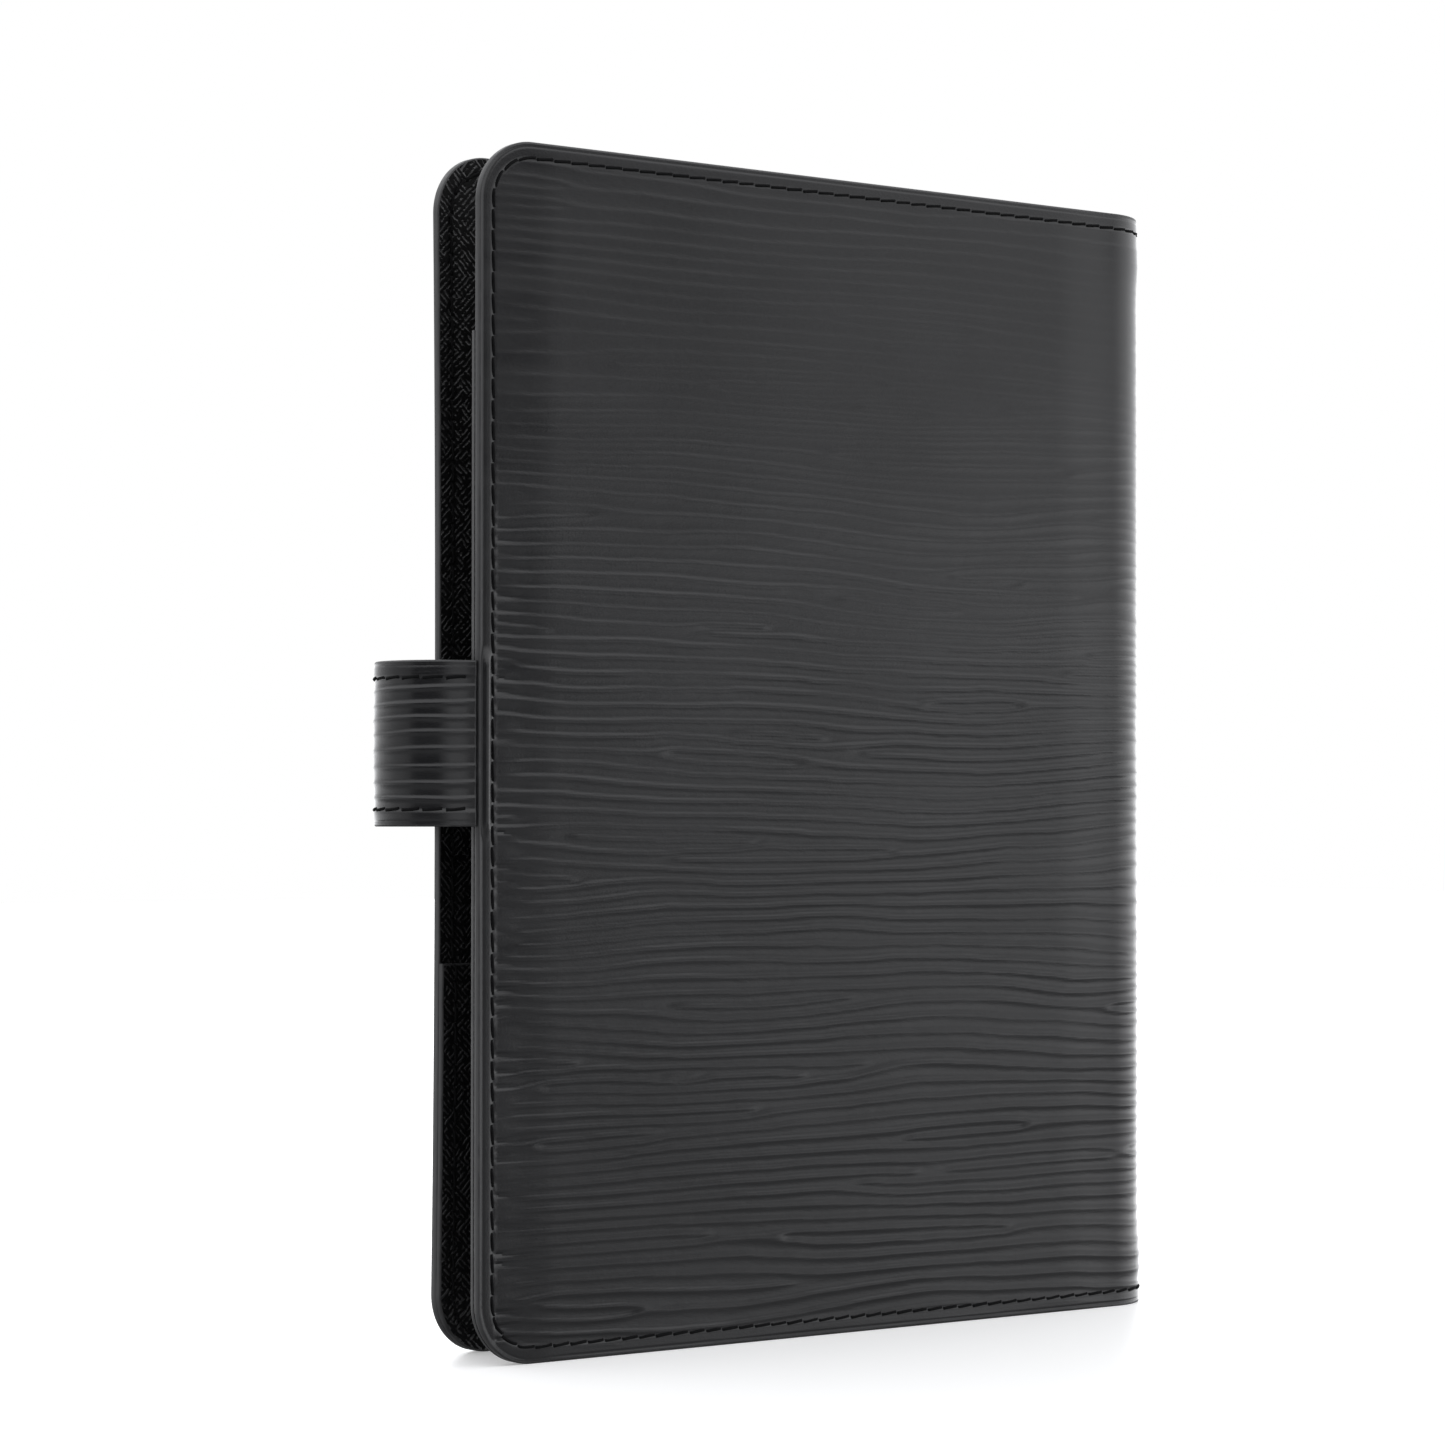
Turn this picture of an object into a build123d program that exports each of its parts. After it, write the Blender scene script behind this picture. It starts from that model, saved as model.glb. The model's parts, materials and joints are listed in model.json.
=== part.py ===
from build123d import *

import os
from math import asin, atan2, cos, degrees, hypot, radians, sin

# A six-ring leather notebook cover, closed and standing on its lower edge, all sizes in mm.
#
# The pieces are drawn in cover coordinates: x runs from the back cover's fore-edge to the spine,
# y from the back cover's outside face towards the front cover, and z up from the lower edge.
# They are moved to the middle of the bounding box's bottom only when they are written.

# ---------------------------------------------------------------- covers and spine
COVER_HEIGHT = 185.0
COVER_WIDTH = 140.0  # back cover's fore-edge to the outermost point of the spine
SPINE_DEPTH = 25.5  # outside to outside at the spine
FORE_EDGE_DEPTH = 17.0  # back face to front face at the fore-edge: the closed cover is a wedge
FRONT_SETBACK = 2.5  # the front cover stops this far short of the back cover's fore-edge
SPINE_RADIUS = 11.0  # outside radius of each spine corner
CORNER_RADIUS = 9.5  # fore-edge corners of both covers

# ---------------------------------------------------------------- layers of a cover, from outside
LEATHER = 1.1  # outside leather at the rim
SKIVED = 0.65  # outside leather over the board
LINING = 0.6
COVER = LEATHER + LINING
POCKET = 0.9  # pocket leather at the rim
BOARD_INSET = 5.0  # the board stops this far inside every edge, clear of the seam
BOARD_CORNER = 4.0
STIFFENER_TRIM = 6.0  # degrees by which the spine's stiffener stops short of each fold

# ---------------------------------------------------------------- seam
SEAM_INSET = 2.5  # edge to the middle of the stitches
THREAD_WIDTH = 0.5
THREAD_DEPTH = 0.25  # the thread lies in a groove, flush with the leather

# ---------------------------------------------------------------- pockets
POCKET_END = 118.0  # the pockets stop this far from the fore-edge, clear of the rings
BACK_POCKET_TOP = 155.8
FRONT_POCKET_TOP = 60.0
SEWN_BORDER = 4.0  # sewn margin of a pocket
POCKET_RELIEF = 0.2
CARD_PANEL = 0.45
CARD_RELIEF = 0.1
CARD_START = 10.0
CARD_END = 108.0
CARD_DROP = 45.0  # how far down a card goes
CARD_TOPS = {"card_slot_top": 104.0, "card_slot_middle": 90.0, "card_slot_lower": 76.0}
CARD_BORDER = 3.0
RAISED_INSET = 7.0  # where the front pocket steps up over the card slots

# ---------------------------------------------------------------- strap
STRAP_WIDTH = 25.0
STRAP_HEIGHT = 93.5  # middle of the strap above the lower edge
STRAP_LEATHER = 1.2
STRAP_LINING = 0.6
STRAP = STRAP_LEATHER + STRAP_LINING
STRAP_STANDOFF = 2.75  # the snap holds the strap this far off the front cover
LOOP_START = 0.5  # the strap leaves the fore-edge this far behind the back face
LOOP_CENTRE_X = 0.5
FLAP_LENGTH = 33.0  # straight part of the strap over the front cover
TAB_LENGTH = 10.0  # thin end sewn between the leather and the lining
TAB_OVERLAP = 0.6
STRAP_SEAM_INSET = 2.6
STRAP_CORNER = 8.0
SPLIT_LOW = 225.0  # the loop folds at these angles round its centre
SPLIT_HIGH = 135.0
EDGE_GAP = 0.05  # least gap between the loop and the cover's edge

# ---------------------------------------------------------------- snap, heights off the front cover
SNAP_X = 22.0  # along the front cover from its fore-edge
STUD_FLANGE_RADIUS = 5.0
STUD_FLANGE = 0.5
STUD_NECK_RADIUS = 2.3
STUD_HEAD_RADIUS = 2.8
STUD_NECK_TOP = 1.2
STUD_TOP = 2.25
STUD_ROUND = 0.45
RIVET_RADIUS = 1.4
RIVET_TOP = 1.7
RIVET_HEAD_RADIUS = 4.5
RIVET_HEAD = 0.4
SOCKET_RADIUS = 5.5
SOCKET_BORE_RADIUS = 3.8
SOCKET_START = 0.55
SOCKET_FLOOR = 0.4
CAP_RADIUS = 6.25
CAP_RIM = 0.35
CAP_RISE = 1.6
CAP_SHANK_RADIUS = 1.4
HOLE_GAP = 0.05  # radial gap of a punched hole round its shank

# ---------------------------------------------------------------- ring mechanism
RING_RADIUS = 6.5  # middle of the wire
WIRE_RADIUS = 1.0
RING_CENTRE_X = 128.5
RING_OFFSETS = (25.4, 44.45, 63.5)  # from the middle, the spacing of a 95 x 171 mm page
RING_ARC_END = 50.0  # where the ring runs straight down to its blade
RING_GAP = 0.03  # each half ring stops this far short of the middle
ARCH_TOP_X = 133.0
ARCH_RADIUS = 10.2
ARCH_SHEET = 0.8
ARCH_HALF_WIDTH = 7.0
ARCH_HALF_LENGTH = 72.0
TAB_REACH = 12.0  # flat end of the arch plate beyond the arch
TAB_HALF_WIDTH = 3.0
TAB_BASE_X = 138.2
NOTCH_HALF_HEIGHT = 1.5
NOTCH_START = 2.2  # from the middle of the arch outwards
BLADE_HALF_LENGTH = 69.0
BLADE_INNER = (136.8, 0.2)  # x, and offset from the middle, of the blade's inner edge
BLADE_PIVOT = (136.0, 5.5)
BLADE_SHEET = 0.8
RING_RIVET_RADIUS = 1.3
RING_RIVET_HEAD_RADIUS = 2.3
RING_RIVET_HEAD = 0.7

# ---------------------------------------------------------------- worked out from the above
BEND_X = COVER_WIDTH - SPINE_RADIUS
BEND_BACK = (BEND_X, SPINE_RADIUS)
BEND_FRONT = (BEND_X, SPINE_DEPTH - SPINE_RADIUS)
MIDDLE_Y = SPINE_DEPTH / 2
MIDDLE_Z = COVER_HEIGHT / 2


def wedge_and_length():
    """The front cover's tilt against the back cover, in degrees, and its flat length."""
    along = BEND_X - FRONT_SETBACK
    across = FORE_EDGE_DEPTH - BEND_FRONT[1]
    tilt = asin(SPINE_RADIUS / hypot(along, across)) - atan2(across, along)
    return degrees(tilt), along * cos(tilt) - across * sin(tilt)


WEDGE, FRONT_RUN = wedge_and_length()
BACK_RUN = BEND_X
BACK_FOLD = 90.0 / 2  # each spine corner folds at the middle of its bend
FRONT_FOLD = (90.0 + WEDGE) / 2
FLAP_RISE = STRAP_STANDOFF + STRAP  # outside of the strap above the front cover


def loop_radius():
    """Outside radius of the strap's loop: it leaves the back cover flat and meets the flap flat."""
    tilt = radians(WEDGE)
    sideways = sin(tilt) * (LOOP_CENTRE_X - FRONT_SETBACK)
    return (FLAP_RISE + sideways + cos(tilt) * (FORE_EDGE_DEPTH - LOOP_START)) / (1 + cos(tilt))


LOOP_RADIUS = loop_radius()
LOOP_CENTRE = (LOOP_CENTRE_X, LOOP_START + LOOP_RADIUS)
LOOP_REACH = LOOP_RADIUS - LOOP_CENTRE_X  # how far the strap stands out from the fore-edge

ORIGIN = Pos(-(COVER_WIDTH - LOOP_REACH) / 2, -MIDDLE_Y, 0)


# ---------------------------------------------------------------- placing
def on_front(shape):
    """Moves a shape drawn like a back cover to the front cover's place."""
    turned = Rot(0, 0, WEDGE) * mirror(shape, about=Plane.XZ)
    return Pos(FRONT_SETBACK, FORE_EDGE_DEPTH, 0) * turned


def on_flap(shape):
    """Moves a shape drawn from the strap's free end, outside face at y = 0, onto the flap."""
    lifted = Pos(flap_end_x(), -FLAP_RISE, STRAP_HEIGHT - STRAP_WIDTH / 2) * mirror(shape, about=Plane.YZ)
    return on_front(lifted)


def flap_end_x():
    """The strap's free end, measured along the front cover from its fore-edge."""
    tilt = radians(WEDGE)
    from_corner = (LOOP_CENTRE[0] - FRONT_SETBACK, LOOP_CENTRE[1] - FORE_EDGE_DEPTH)
    return from_corner[0] * cos(tilt) + from_corner[1] * sin(tilt) + FLAP_LENGTH


def on_snap(shape):
    """Moves a shape standing on z = 0 to the snap, with z pointing out of the front cover."""
    tilt = radians(WEDGE)
    foot = (
        FRONT_SETBACK + SNAP_X * cos(tilt),
        FORE_EDGE_DEPTH + SNAP_X * sin(tilt),
        STRAP_HEIGHT,
    )
    return Plane(origin=foot, x_dir=(0, 0, 1), z_dir=(-sin(tilt), cos(tilt), 0)).location * shape


# ---------------------------------------------------------------- building blocks
def on_circle(centre, radius, angle):
    """The point at an angle on a circle."""
    return (centre[0] + radius * cos(radians(angle)), centre[1] + radius * sin(radians(angle)))


def arc_layer(centre, radius, start, turn, outer, inner, low, high):
    """A curved layer between two depths below a round outside face, from height low to high."""
    face = make_face(
        [
            CenterArc(centre, radius - outer, start, turn),
            Line(
                on_circle(centre, radius - outer, start + turn),
                on_circle(centre, radius - inner, start + turn),
            ),
            CenterArc(centre, radius - inner, start, turn),
            Line(
                on_circle(centre, radius - inner, start),
                on_circle(centre, radius - outer, start),
            ),
        ]
    )
    return Pos(0, 0, low) * extrude(face, high - low, dir=(0, 0, 1))


def bent_layer(run, radius, bend, height, corner, outer, inner, inset=0.0):
    """A layer of a sheet that lies flat for `run` and then turns by `bend` degrees.

    Its free end is at x = 0 and its outside face at y = 0. `inset` draws it in from the free end
    and from both long edges, and the free end's corners follow the sheet's own corner.
    """
    centre = (run, radius)
    end_outer = on_circle(centre, radius - outer, bend - 90)
    end_inner = on_circle(centre, radius - inner, bend - 90)
    face = make_face(
        [
            Line((inset, outer), (run, outer)),
            CenterArc(centre, radius - outer, -90, bend),
            Line(end_outer, end_inner),
            CenterArc(centre, radius - inner, -90, bend),
            Line((run, inner), (inset, inner)),
            Line((inset, inner), (inset, outer)),
        ]
    )
    layer = Pos(0, 0, inset) * extrude(face, height - 2 * inset, dir=(0, 0, 1))
    return fillet(layer.edges().filter_by(Axis.Y).group_by(Axis.X)[0], corner - inset)


def back_layer(outer, inner, inset=0.0):
    """A layer of the back cover as far as the fold in the spine's corner."""
    return bent_layer(BACK_RUN, SPINE_RADIUS, BACK_FOLD, COVER_HEIGHT, CORNER_RADIUS, outer, inner, inset)


def front_layer(outer, inner, inset=0.0):
    """A layer of the front cover, drawn like a back cover."""
    return bent_layer(FRONT_RUN, SPINE_RADIUS, FRONT_FOLD, COVER_HEIGHT, CORNER_RADIUS, outer, inner, inset)


def tip_layer(outer, inner, inset=0.0):
    """A layer of the strap from its free end to the loop's upper fold."""
    bend = SPLIT_HIGH - 90 - WEDGE
    return bent_layer(FLAP_LENGTH, LOOP_RADIUS, bend, STRAP_WIDTH, STRAP_CORNER, outer, inner, inset)


def seam(layer, inset):
    """The thread of a seam that follows a sheet's free edges at `inset`, flush with its face."""
    outer = layer(0, THREAD_DEPTH, inset - THREAD_WIDTH / 2)
    middle = layer(-1, THREAD_DEPTH + 1, inset + THREAD_WIDTH / 2)
    return outer - middle


def spine_layer(outer, inner, low=0.0, high=COVER_HEIGHT, trim=0.0):
    """A layer of the spine between its two folds. `trim` shortens it by that many degrees an end."""
    lower = arc_layer(BEND_BACK, SPINE_RADIUS, -BACK_FOLD + trim, BACK_FOLD - trim, outer, inner, low, high)
    upper = arc_layer(BEND_FRONT, SPINE_RADIUS, 0, FRONT_FOLD - trim, outer, inner, low, high)
    flat = slab((COVER_WIDTH - inner, COVER_WIDTH - outer), (BEND_BACK[1], BEND_FRONT[1]), (low, high))
    return lower + flat + upper


def slab(x, y, z):
    """A box between two x, two y and two z values."""
    size = (x[1] - x[0], y[1] - y[0], z[1] - z[0])
    return Pos(x[0], y[0], z[0]) * Box(*size, align=(Align.MIN, Align.MIN, Align.MIN))


def rod(radius, low, high):
    """A cylinder about the z axis from z = low to z = high."""
    return Pos(0, 0, low) * Cylinder(radius, high - low, align=(Align.CENTER, Align.CENTER, Align.MIN))


def across_spine(shape, z):
    """Turns a shape about z to lie along x, at the middle of the spine."""
    return Pos(0, MIDDLE_Y, z) * Rot(0, 90, 0) * shape


def round_corners(panel, radius, end):
    """Rounds a flat panel's corners at its first (end=0) or last (end=-1) x."""
    return fillet(panel.edges().filter_by(Axis.Y).group_by(Axis.X)[end], radius)


# ---------------------------------------------------------------- boards and pockets
def board(run):
    """The flat stiffener of a cover, in a skived recess behind the outside leather."""
    rows = (BOARD_INSET, COVER_HEIGHT - BOARD_INSET)
    flat = slab((BOARD_INSET, run - BOARD_INSET), (SKIVED, LEATHER), rows)
    return round_corners(round_corners(flat, BOARD_CORNER, 0), BOARD_CORNER, -1)


def rim_pocket(top):
    """A pocket sewn into the cover's own seam on its lining, open upwards."""
    flat = slab((0, POCKET_END), (COVER, COVER + POCKET), (0, top))
    low_corner = flat.edges().filter_by(Axis.Y).group_by(Axis.X)[0].sort_by(Axis.Z)[0]
    return fillet(low_corner, CORNER_RADIUS)


def back_pocket():
    """The back cover's tall pocket."""
    hollow = slab(
        (SEWN_BORDER, POCKET_END - SEWN_BORDER),
        (COVER, COVER + POCKET_RELIEF),
        (SEWN_BORDER, BACK_POCKET_TOP),
    )
    return rim_pocket(BACK_POCKET_TOP) - hollow


def front_pocket():
    """The front cover's low pocket, which steps up over the hanging ends of the card slots."""
    under = COVER + len(CARD_TOPS) * CARD_PANEL + EDGE_GAP
    raised = slab(
        (RAISED_INSET, POCKET_END),
        (COVER + POCKET / 2, under + POCKET),
        (RAISED_INSET, FRONT_POCKET_TOP),
    )
    hollow = slab(
        (CARD_START - EDGE_GAP, POCKET_END - SEWN_BORDER),
        (COVER, under),
        (CARD_START, FRONT_POCKET_TOP),
    )
    return rim_pocket(FRONT_POCKET_TOP) + raised - hollow


def card_slot(number, top):
    """One card slot panel; each lies over the one before and hangs down behind the low pocket."""
    face = COVER + number * CARD_PANEL
    low = top - CARD_DROP
    panel = slab((CARD_START, CARD_END), (face, face + CARD_PANEL), (low, top))
    hollow = slab(
        (CARD_START + CARD_BORDER, CARD_END - CARD_BORDER),
        (face, face + CARD_RELIEF),
        (low + CARD_BORDER, top),
    )
    return panel - hollow


# ---------------------------------------------------------------- strap
def strap_tab():
    """The skived end of the strap between the back cover's leather and its lining."""
    half = STRAP_WIDTH / 2
    return slab((-TAB_OVERLAP, TAB_LENGTH), (SKIVED, LEATHER), (STRAP_HEIGHT - half, STRAP_HEIGHT + half))


def root_angle():
    """Where the loop starts: its inside corner stands just off the cover's edge."""
    inner = LOOP_RADIUS - STRAP
    return 270 - degrees(asin((LOOP_CENTRE_X + EDGE_GAP) / inner))


def loop_layer(start, end, outer, inner, z_inset=0.0, z_height=STRAP_WIDTH):
    """A layer of the strap's loop between two angles, start above end."""
    low = STRAP_HEIGHT - STRAP_WIDTH / 2 + z_inset
    return arc_layer(LOOP_CENTRE, LOOP_RADIUS, end, start - end, outer, inner, low, low + z_height)


def loop_threads(start, end):
    """The two rows of thread along the strap's edges on its loop."""
    rows = (STRAP_SEAM_INSET, STRAP_WIDTH - STRAP_SEAM_INSET)
    return [
        loop_layer(start, end, 0, THREAD_DEPTH, row - THREAD_WIDTH / 2, THREAD_WIDTH) for row in rows
    ]


def without(shape, cuts):
    """A shape less every solid in a list."""
    for cut in cuts:
        shape = shape - cut
    return shape


def strap_root():
    """The first eighth of the loop, fixed to the back cover."""
    threads = loop_threads(root_angle(), SPLIT_LOW)
    leather = loop_layer(root_angle(), SPLIT_LOW, 0, STRAP_LEATHER) + strap_tab()
    return {
        "strap_root_leather": without(leather, threads),
        "strap_root_lining": loop_layer(root_angle(), SPLIT_LOW, STRAP_LEATHER, STRAP),
        "strap_root_thread": threads,
    }


def strap_side():
    """The quarter of the loop across the fore-edge."""
    threads = loop_threads(SPLIT_LOW, SPLIT_HIGH)
    return {
        "strap_side_leather": without(loop_layer(SPLIT_LOW, SPLIT_HIGH, 0, STRAP_LEATHER), threads),
        "strap_side_lining": loop_layer(SPLIT_LOW, SPLIT_HIGH, STRAP_LEATHER, STRAP),
        "strap_side_thread": threads,
    }


def strap_tip():
    """The end of the loop and the flap that carries the snap's cap and socket."""
    thread = on_flap(seam(tip_layer, STRAP_SEAM_INSET))
    hole = on_snap(rod(CAP_SHANK_RADIUS + HOLE_GAP, 0, FLAP_RISE + 1))
    return {
        "strap_tip_leather": on_flap(tip_layer(0, STRAP_LEATHER)) - thread - hole,
        "strap_tip_lining": on_flap(tip_layer(STRAP_LEATHER, STRAP)) - hole,
        "strap_tip_thread": thread,
    }


# ---------------------------------------------------------------- snap
def spun(outline):
    """A solid of revolution about z from (radius, height) points."""
    points = [(r, 0, h) for r, h in outline]
    return revolve(make_face(Polyline(*points, close=True)), Axis.Z)


def snap_stud():
    """The stud on the front cover: a flange, a neck and a rounded head, bored for its rivet."""
    body = spun(
        [
            (0, 0),
            (STUD_FLANGE_RADIUS, 0),
            (STUD_FLANGE_RADIUS, STUD_FLANGE / 2),
            (STUD_FLANGE_RADIUS - STUD_FLANGE / 2, STUD_FLANGE),
            (STUD_NECK_RADIUS, STUD_FLANGE),
            (STUD_NECK_RADIUS, STUD_NECK_TOP),
            (STUD_HEAD_RADIUS, STUD_NECK_TOP + STUD_ROUND),
            (STUD_HEAD_RADIUS, STUD_TOP),
            (0, STUD_TOP),
        ]
    )
    body = fillet(body.edges().group_by(Axis.Z)[-1], STUD_ROUND)
    return on_snap(body - rod(RIVET_RADIUS, -1, RIVET_TOP))


def snap_stud_rivet():
    """The rivet that holds the stud, with its head behind the outside leather."""
    shank = rod(RIVET_RADIUS, -SKIVED, RIVET_TOP)
    return on_snap(shank + rod(RIVET_HEAD_RADIUS, -SKIVED - RIVET_HEAD, -SKIVED))


def snap_socket():
    """The socket on the strap's inside."""
    ring = rod(SOCKET_RADIUS, SOCKET_START, STRAP_STANDOFF)
    ring = fillet(ring.edges().group_by(Axis.Z)[0], STUD_ROUND)
    bore = rod(SOCKET_BORE_RADIUS, 0, STRAP_STANDOFF - SOCKET_FLOOR)
    return on_snap(ring - bore - rod(CAP_SHANK_RADIUS, 0, FLAP_RISE))


def snap_cap():
    """The domed cap on the strap's outside, with the shank that clinches the socket."""
    rim = FLAP_RISE + CAP_RIM
    dome_radius = (CAP_RADIUS**2 + (CAP_RISE - CAP_RIM) ** 2) / (2 * (CAP_RISE - CAP_RIM))
    dome = Pos(0, 0, FLAP_RISE + CAP_RISE - dome_radius) * Sphere(dome_radius)
    dome = dome & rod(CAP_RADIUS, rim, FLAP_RISE + CAP_RISE)
    shank = rod(CAP_SHANK_RADIUS, STUD_TOP + EDGE_GAP, FLAP_RISE)
    return on_snap(dome + rod(CAP_RADIUS, FLAP_RISE, rim) + shank)


# ---------------------------------------------------------------- ring mechanism
def ring_heights():
    """The heights of the six rings."""
    return [MIDDLE_Z + side * offset for side in (-1, 1) for offset in RING_OFFSETS]


def arch_plate():
    """The arched cover plate, with a notch for each half ring and a flat riveted tab at each end."""
    centre = (ARCH_TOP_X + ARCH_RADIUS, MIDDLE_Y)
    spread = degrees(asin(ARCH_HALF_WIDTH / ARCH_RADIUS))
    bottom, top = MIDDLE_Z - ARCH_HALF_LENGTH, MIDDLE_Z + ARCH_HALF_LENGTH
    plate = arc_layer(centre, ARCH_RADIUS, 180 - spread, 2 * spread, 0, ARCH_SHEET, bottom, top)
    wide = (MIDDLE_Y - TAB_HALF_WIDTH, MIDDLE_Y + TAB_HALF_WIDTH)
    under_arch = Pos(*centre, MIDDLE_Z) * Cylinder(ARCH_RADIUS, COVER_HEIGHT)
    for side, edge in ((-1, bottom), (1, top)):
        wall = sorted((edge, edge - side * ARCH_SHEET))
        tab = sorted((edge - side * ARCH_SHEET, edge + side * TAB_REACH))
        plate += slab((ARCH_TOP_X, TAB_BASE_X), wide, wall) & under_arch
        plate += slab((TAB_BASE_X - ARCH_SHEET, TAB_BASE_X), wide, tab)
        plate -= across_spine(rod(RING_RIVET_RADIUS, ARCH_TOP_X, COVER_WIDTH), rivet_height(side))
    for z in ring_heights():
        for side in (-1, 1):
            y = sorted((MIDDLE_Y + side * NOTCH_START, MIDDLE_Y + side * (ARCH_HALF_WIDTH + 1)))
            rows = (z - NOTCH_HALF_HEIGHT, z + NOTCH_HALF_HEIGHT)
            plate -= slab((ARCH_TOP_X - 1, TAB_BASE_X), y, rows)
    return plate


def rivet_height(side):
    """The height of the lower (-1) or upper (1) rivet of the arch plate."""
    return MIDDLE_Z + side * (ARCH_HALF_LENGTH + TAB_REACH / 2)


def ring_rivet(side):
    """A rivet through the arch plate's tab, the lining and the stiffener."""
    face = TAB_BASE_X - ARCH_SHEET
    shank = rod(RING_RIVET_RADIUS, face, COVER_WIDTH - SKIVED)
    head = rod(RING_RIVET_HEAD_RADIUS, face - RING_RIVET_HEAD, face)
    head = fillet(head.edges().group_by(Axis.Z)[0], RING_RIVET_HEAD / 2)
    return across_spine(head + shank, rivet_height(side))


def half_ring(side, z):
    """Half a ring: round from the middle, then straight down into its blade."""
    centre = (RING_CENTRE_X, MIDDLE_Y)
    gap = degrees(RING_GAP / RING_RADIUS)
    arc = CenterArc(centre, RING_RADIUS, RING_ARC_END, 180 - gap - RING_ARC_END)
    bend = on_circle(centre, RING_RADIUS, RING_ARC_END)
    tilt = radians(RING_ARC_END)
    reach = (BLADE_INNER[0] + BLADE_SHEET / 2 - bend[0]) / sin(tilt)
    foot = (bend[0] + reach * sin(tilt), bend[1] - reach * cos(tilt))
    path = Wire([Edge.make_line(foot, bend), arc.edge()])
    start = Plane(origin=(*foot, 0), z_dir=(-sin(tilt), cos(tilt), 0))
    wire = sweep(start * Circle(WIRE_RADIUS), path=path)
    if side < 0:
        wire = mirror(wire, about=Plane.XZ.offset(-MIDDLE_Y))
    return Pos(0, 0, z) * wire


def blade(side):
    """The long blade that carries one set of half rings, as it lies under the closed arch plate."""
    corners = [
        (BLADE_INNER[0], MIDDLE_Y + side * BLADE_INNER[1]),
        (BLADE_PIVOT[0], MIDDLE_Y + side * BLADE_PIVOT[1]),
        (BLADE_PIVOT[0] + BLADE_SHEET, MIDDLE_Y + side * BLADE_PIVOT[1]),
        (BLADE_INNER[0] + BLADE_SHEET, MIDDLE_Y + side * BLADE_INNER[1]),
    ]
    face = make_face(Polyline(*corners, close=True))
    length = 2 * BLADE_HALF_LENGTH
    return Pos(0, 0, MIDDLE_Z - BLADE_HALF_LENGTH) * extrude(face, length, dir=(0, 0, 1))


def ring_set(side, name):
    """One blade and its six half rings, staked into it."""
    rings = [half_ring(side, z) for z in ring_heights()]
    return {f"ring_blade_{name}": without(blade(side), rings), f"ring_halves_{name}": rings}


# ---------------------------------------------------------------- the assembly
def back_cover():
    """The pieces fixed to the back cover."""
    thread = seam(back_layer, SEAM_INSET)
    leather = back_layer(0, LEATHER) - board(BACK_RUN) - thread - strap_tab()
    return {
        "back_cover_leather": leather,
        "back_cover_board": board(BACK_RUN) - strap_tab(),
        "back_cover_lining": back_layer(LEATHER, COVER),
        "back_cover_thread": thread,
        "back_pocket": back_pocket(),
    }


def spine():
    """The pieces fixed to the spine."""
    rows = (SEAM_INSET, COVER_HEIGHT - SEAM_INSET)
    threads = [
        spine_layer(0, THREAD_DEPTH, row - THREAD_WIDTH / 2, row + THREAD_WIDTH / 2) for row in rows
    ]
    stiffener = spine_layer(SKIVED, LEATHER, BOARD_INSET, COVER_HEIGHT - BOARD_INSET, STIFFENER_TRIM)
    radius = RING_RIVET_RADIUS + HOLE_GAP
    holes = [across_spine(rod(radius, BEND_X, COVER_WIDTH - SKIVED), rivet_height(s)) for s in (-1, 1)]
    return {
        "spine_leather": without(spine_layer(0, LEATHER) - stiffener, threads),
        "spine_board": without(stiffener, holes),
        "spine_lining": without(spine_layer(LEATHER, COVER), holes),
        "spine_thread": threads,
        "ring_arch_plate": arch_plate(),
        "ring_rivets": [ring_rivet(side) for side in (-1, 1)],
    }


def front_cover():
    """The pieces fixed to the front cover."""
    thread = seam(front_layer, SEAM_INSET)
    leather = on_front(front_layer(0, LEATHER) - board(FRONT_RUN) - thread)
    rivet_head = on_snap(rod(RIVET_HEAD_RADIUS + HOLE_GAP, -LEATHER, -SKIVED))
    pieces = {
        "front_cover_leather": leather - on_snap(rod(RIVET_RADIUS + HOLE_GAP, -LEATHER, 1)),
        "front_cover_board": on_front(board(FRONT_RUN)) - rivet_head,
        "front_cover_lining": on_front(front_layer(LEATHER, COVER)),
        "front_cover_thread": on_front(thread),
        "front_pocket": on_front(front_pocket()),
        "snap_stud": snap_stud(),
        "snap_stud_rivet": snap_stud_rivet(),
    }
    for number, (name, top) in enumerate(CARD_TOPS.items()):
        pieces[name] = on_front(card_slot(number, top))
    return pieces


def write(name, shape):
    """Writes one node; a list is a group of separate solids."""
    shapes = shape if isinstance(shape, list) else [shape]
    solids = [ORIGIN * solid for one in shapes for solid in one.solids()]
    export_step(solids[0] if len(solids) == 1 else Compound(children=solids), f"parts/{name}.step")


os.makedirs("parts", exist_ok=True)
assembly = {
    **back_cover(),
    **strap_root(),
    **spine(),
    **ring_set(-1, "back"),
    **ring_set(1, "front"),
    **front_cover(),
    **strap_side(),
    **strap_tip(),
    "snap_cap": snap_cap(),
    "snap_socket": snap_socket(),
}
for node, piece in assembly.items():
    write(node, piece)
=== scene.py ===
import json
import math

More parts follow.
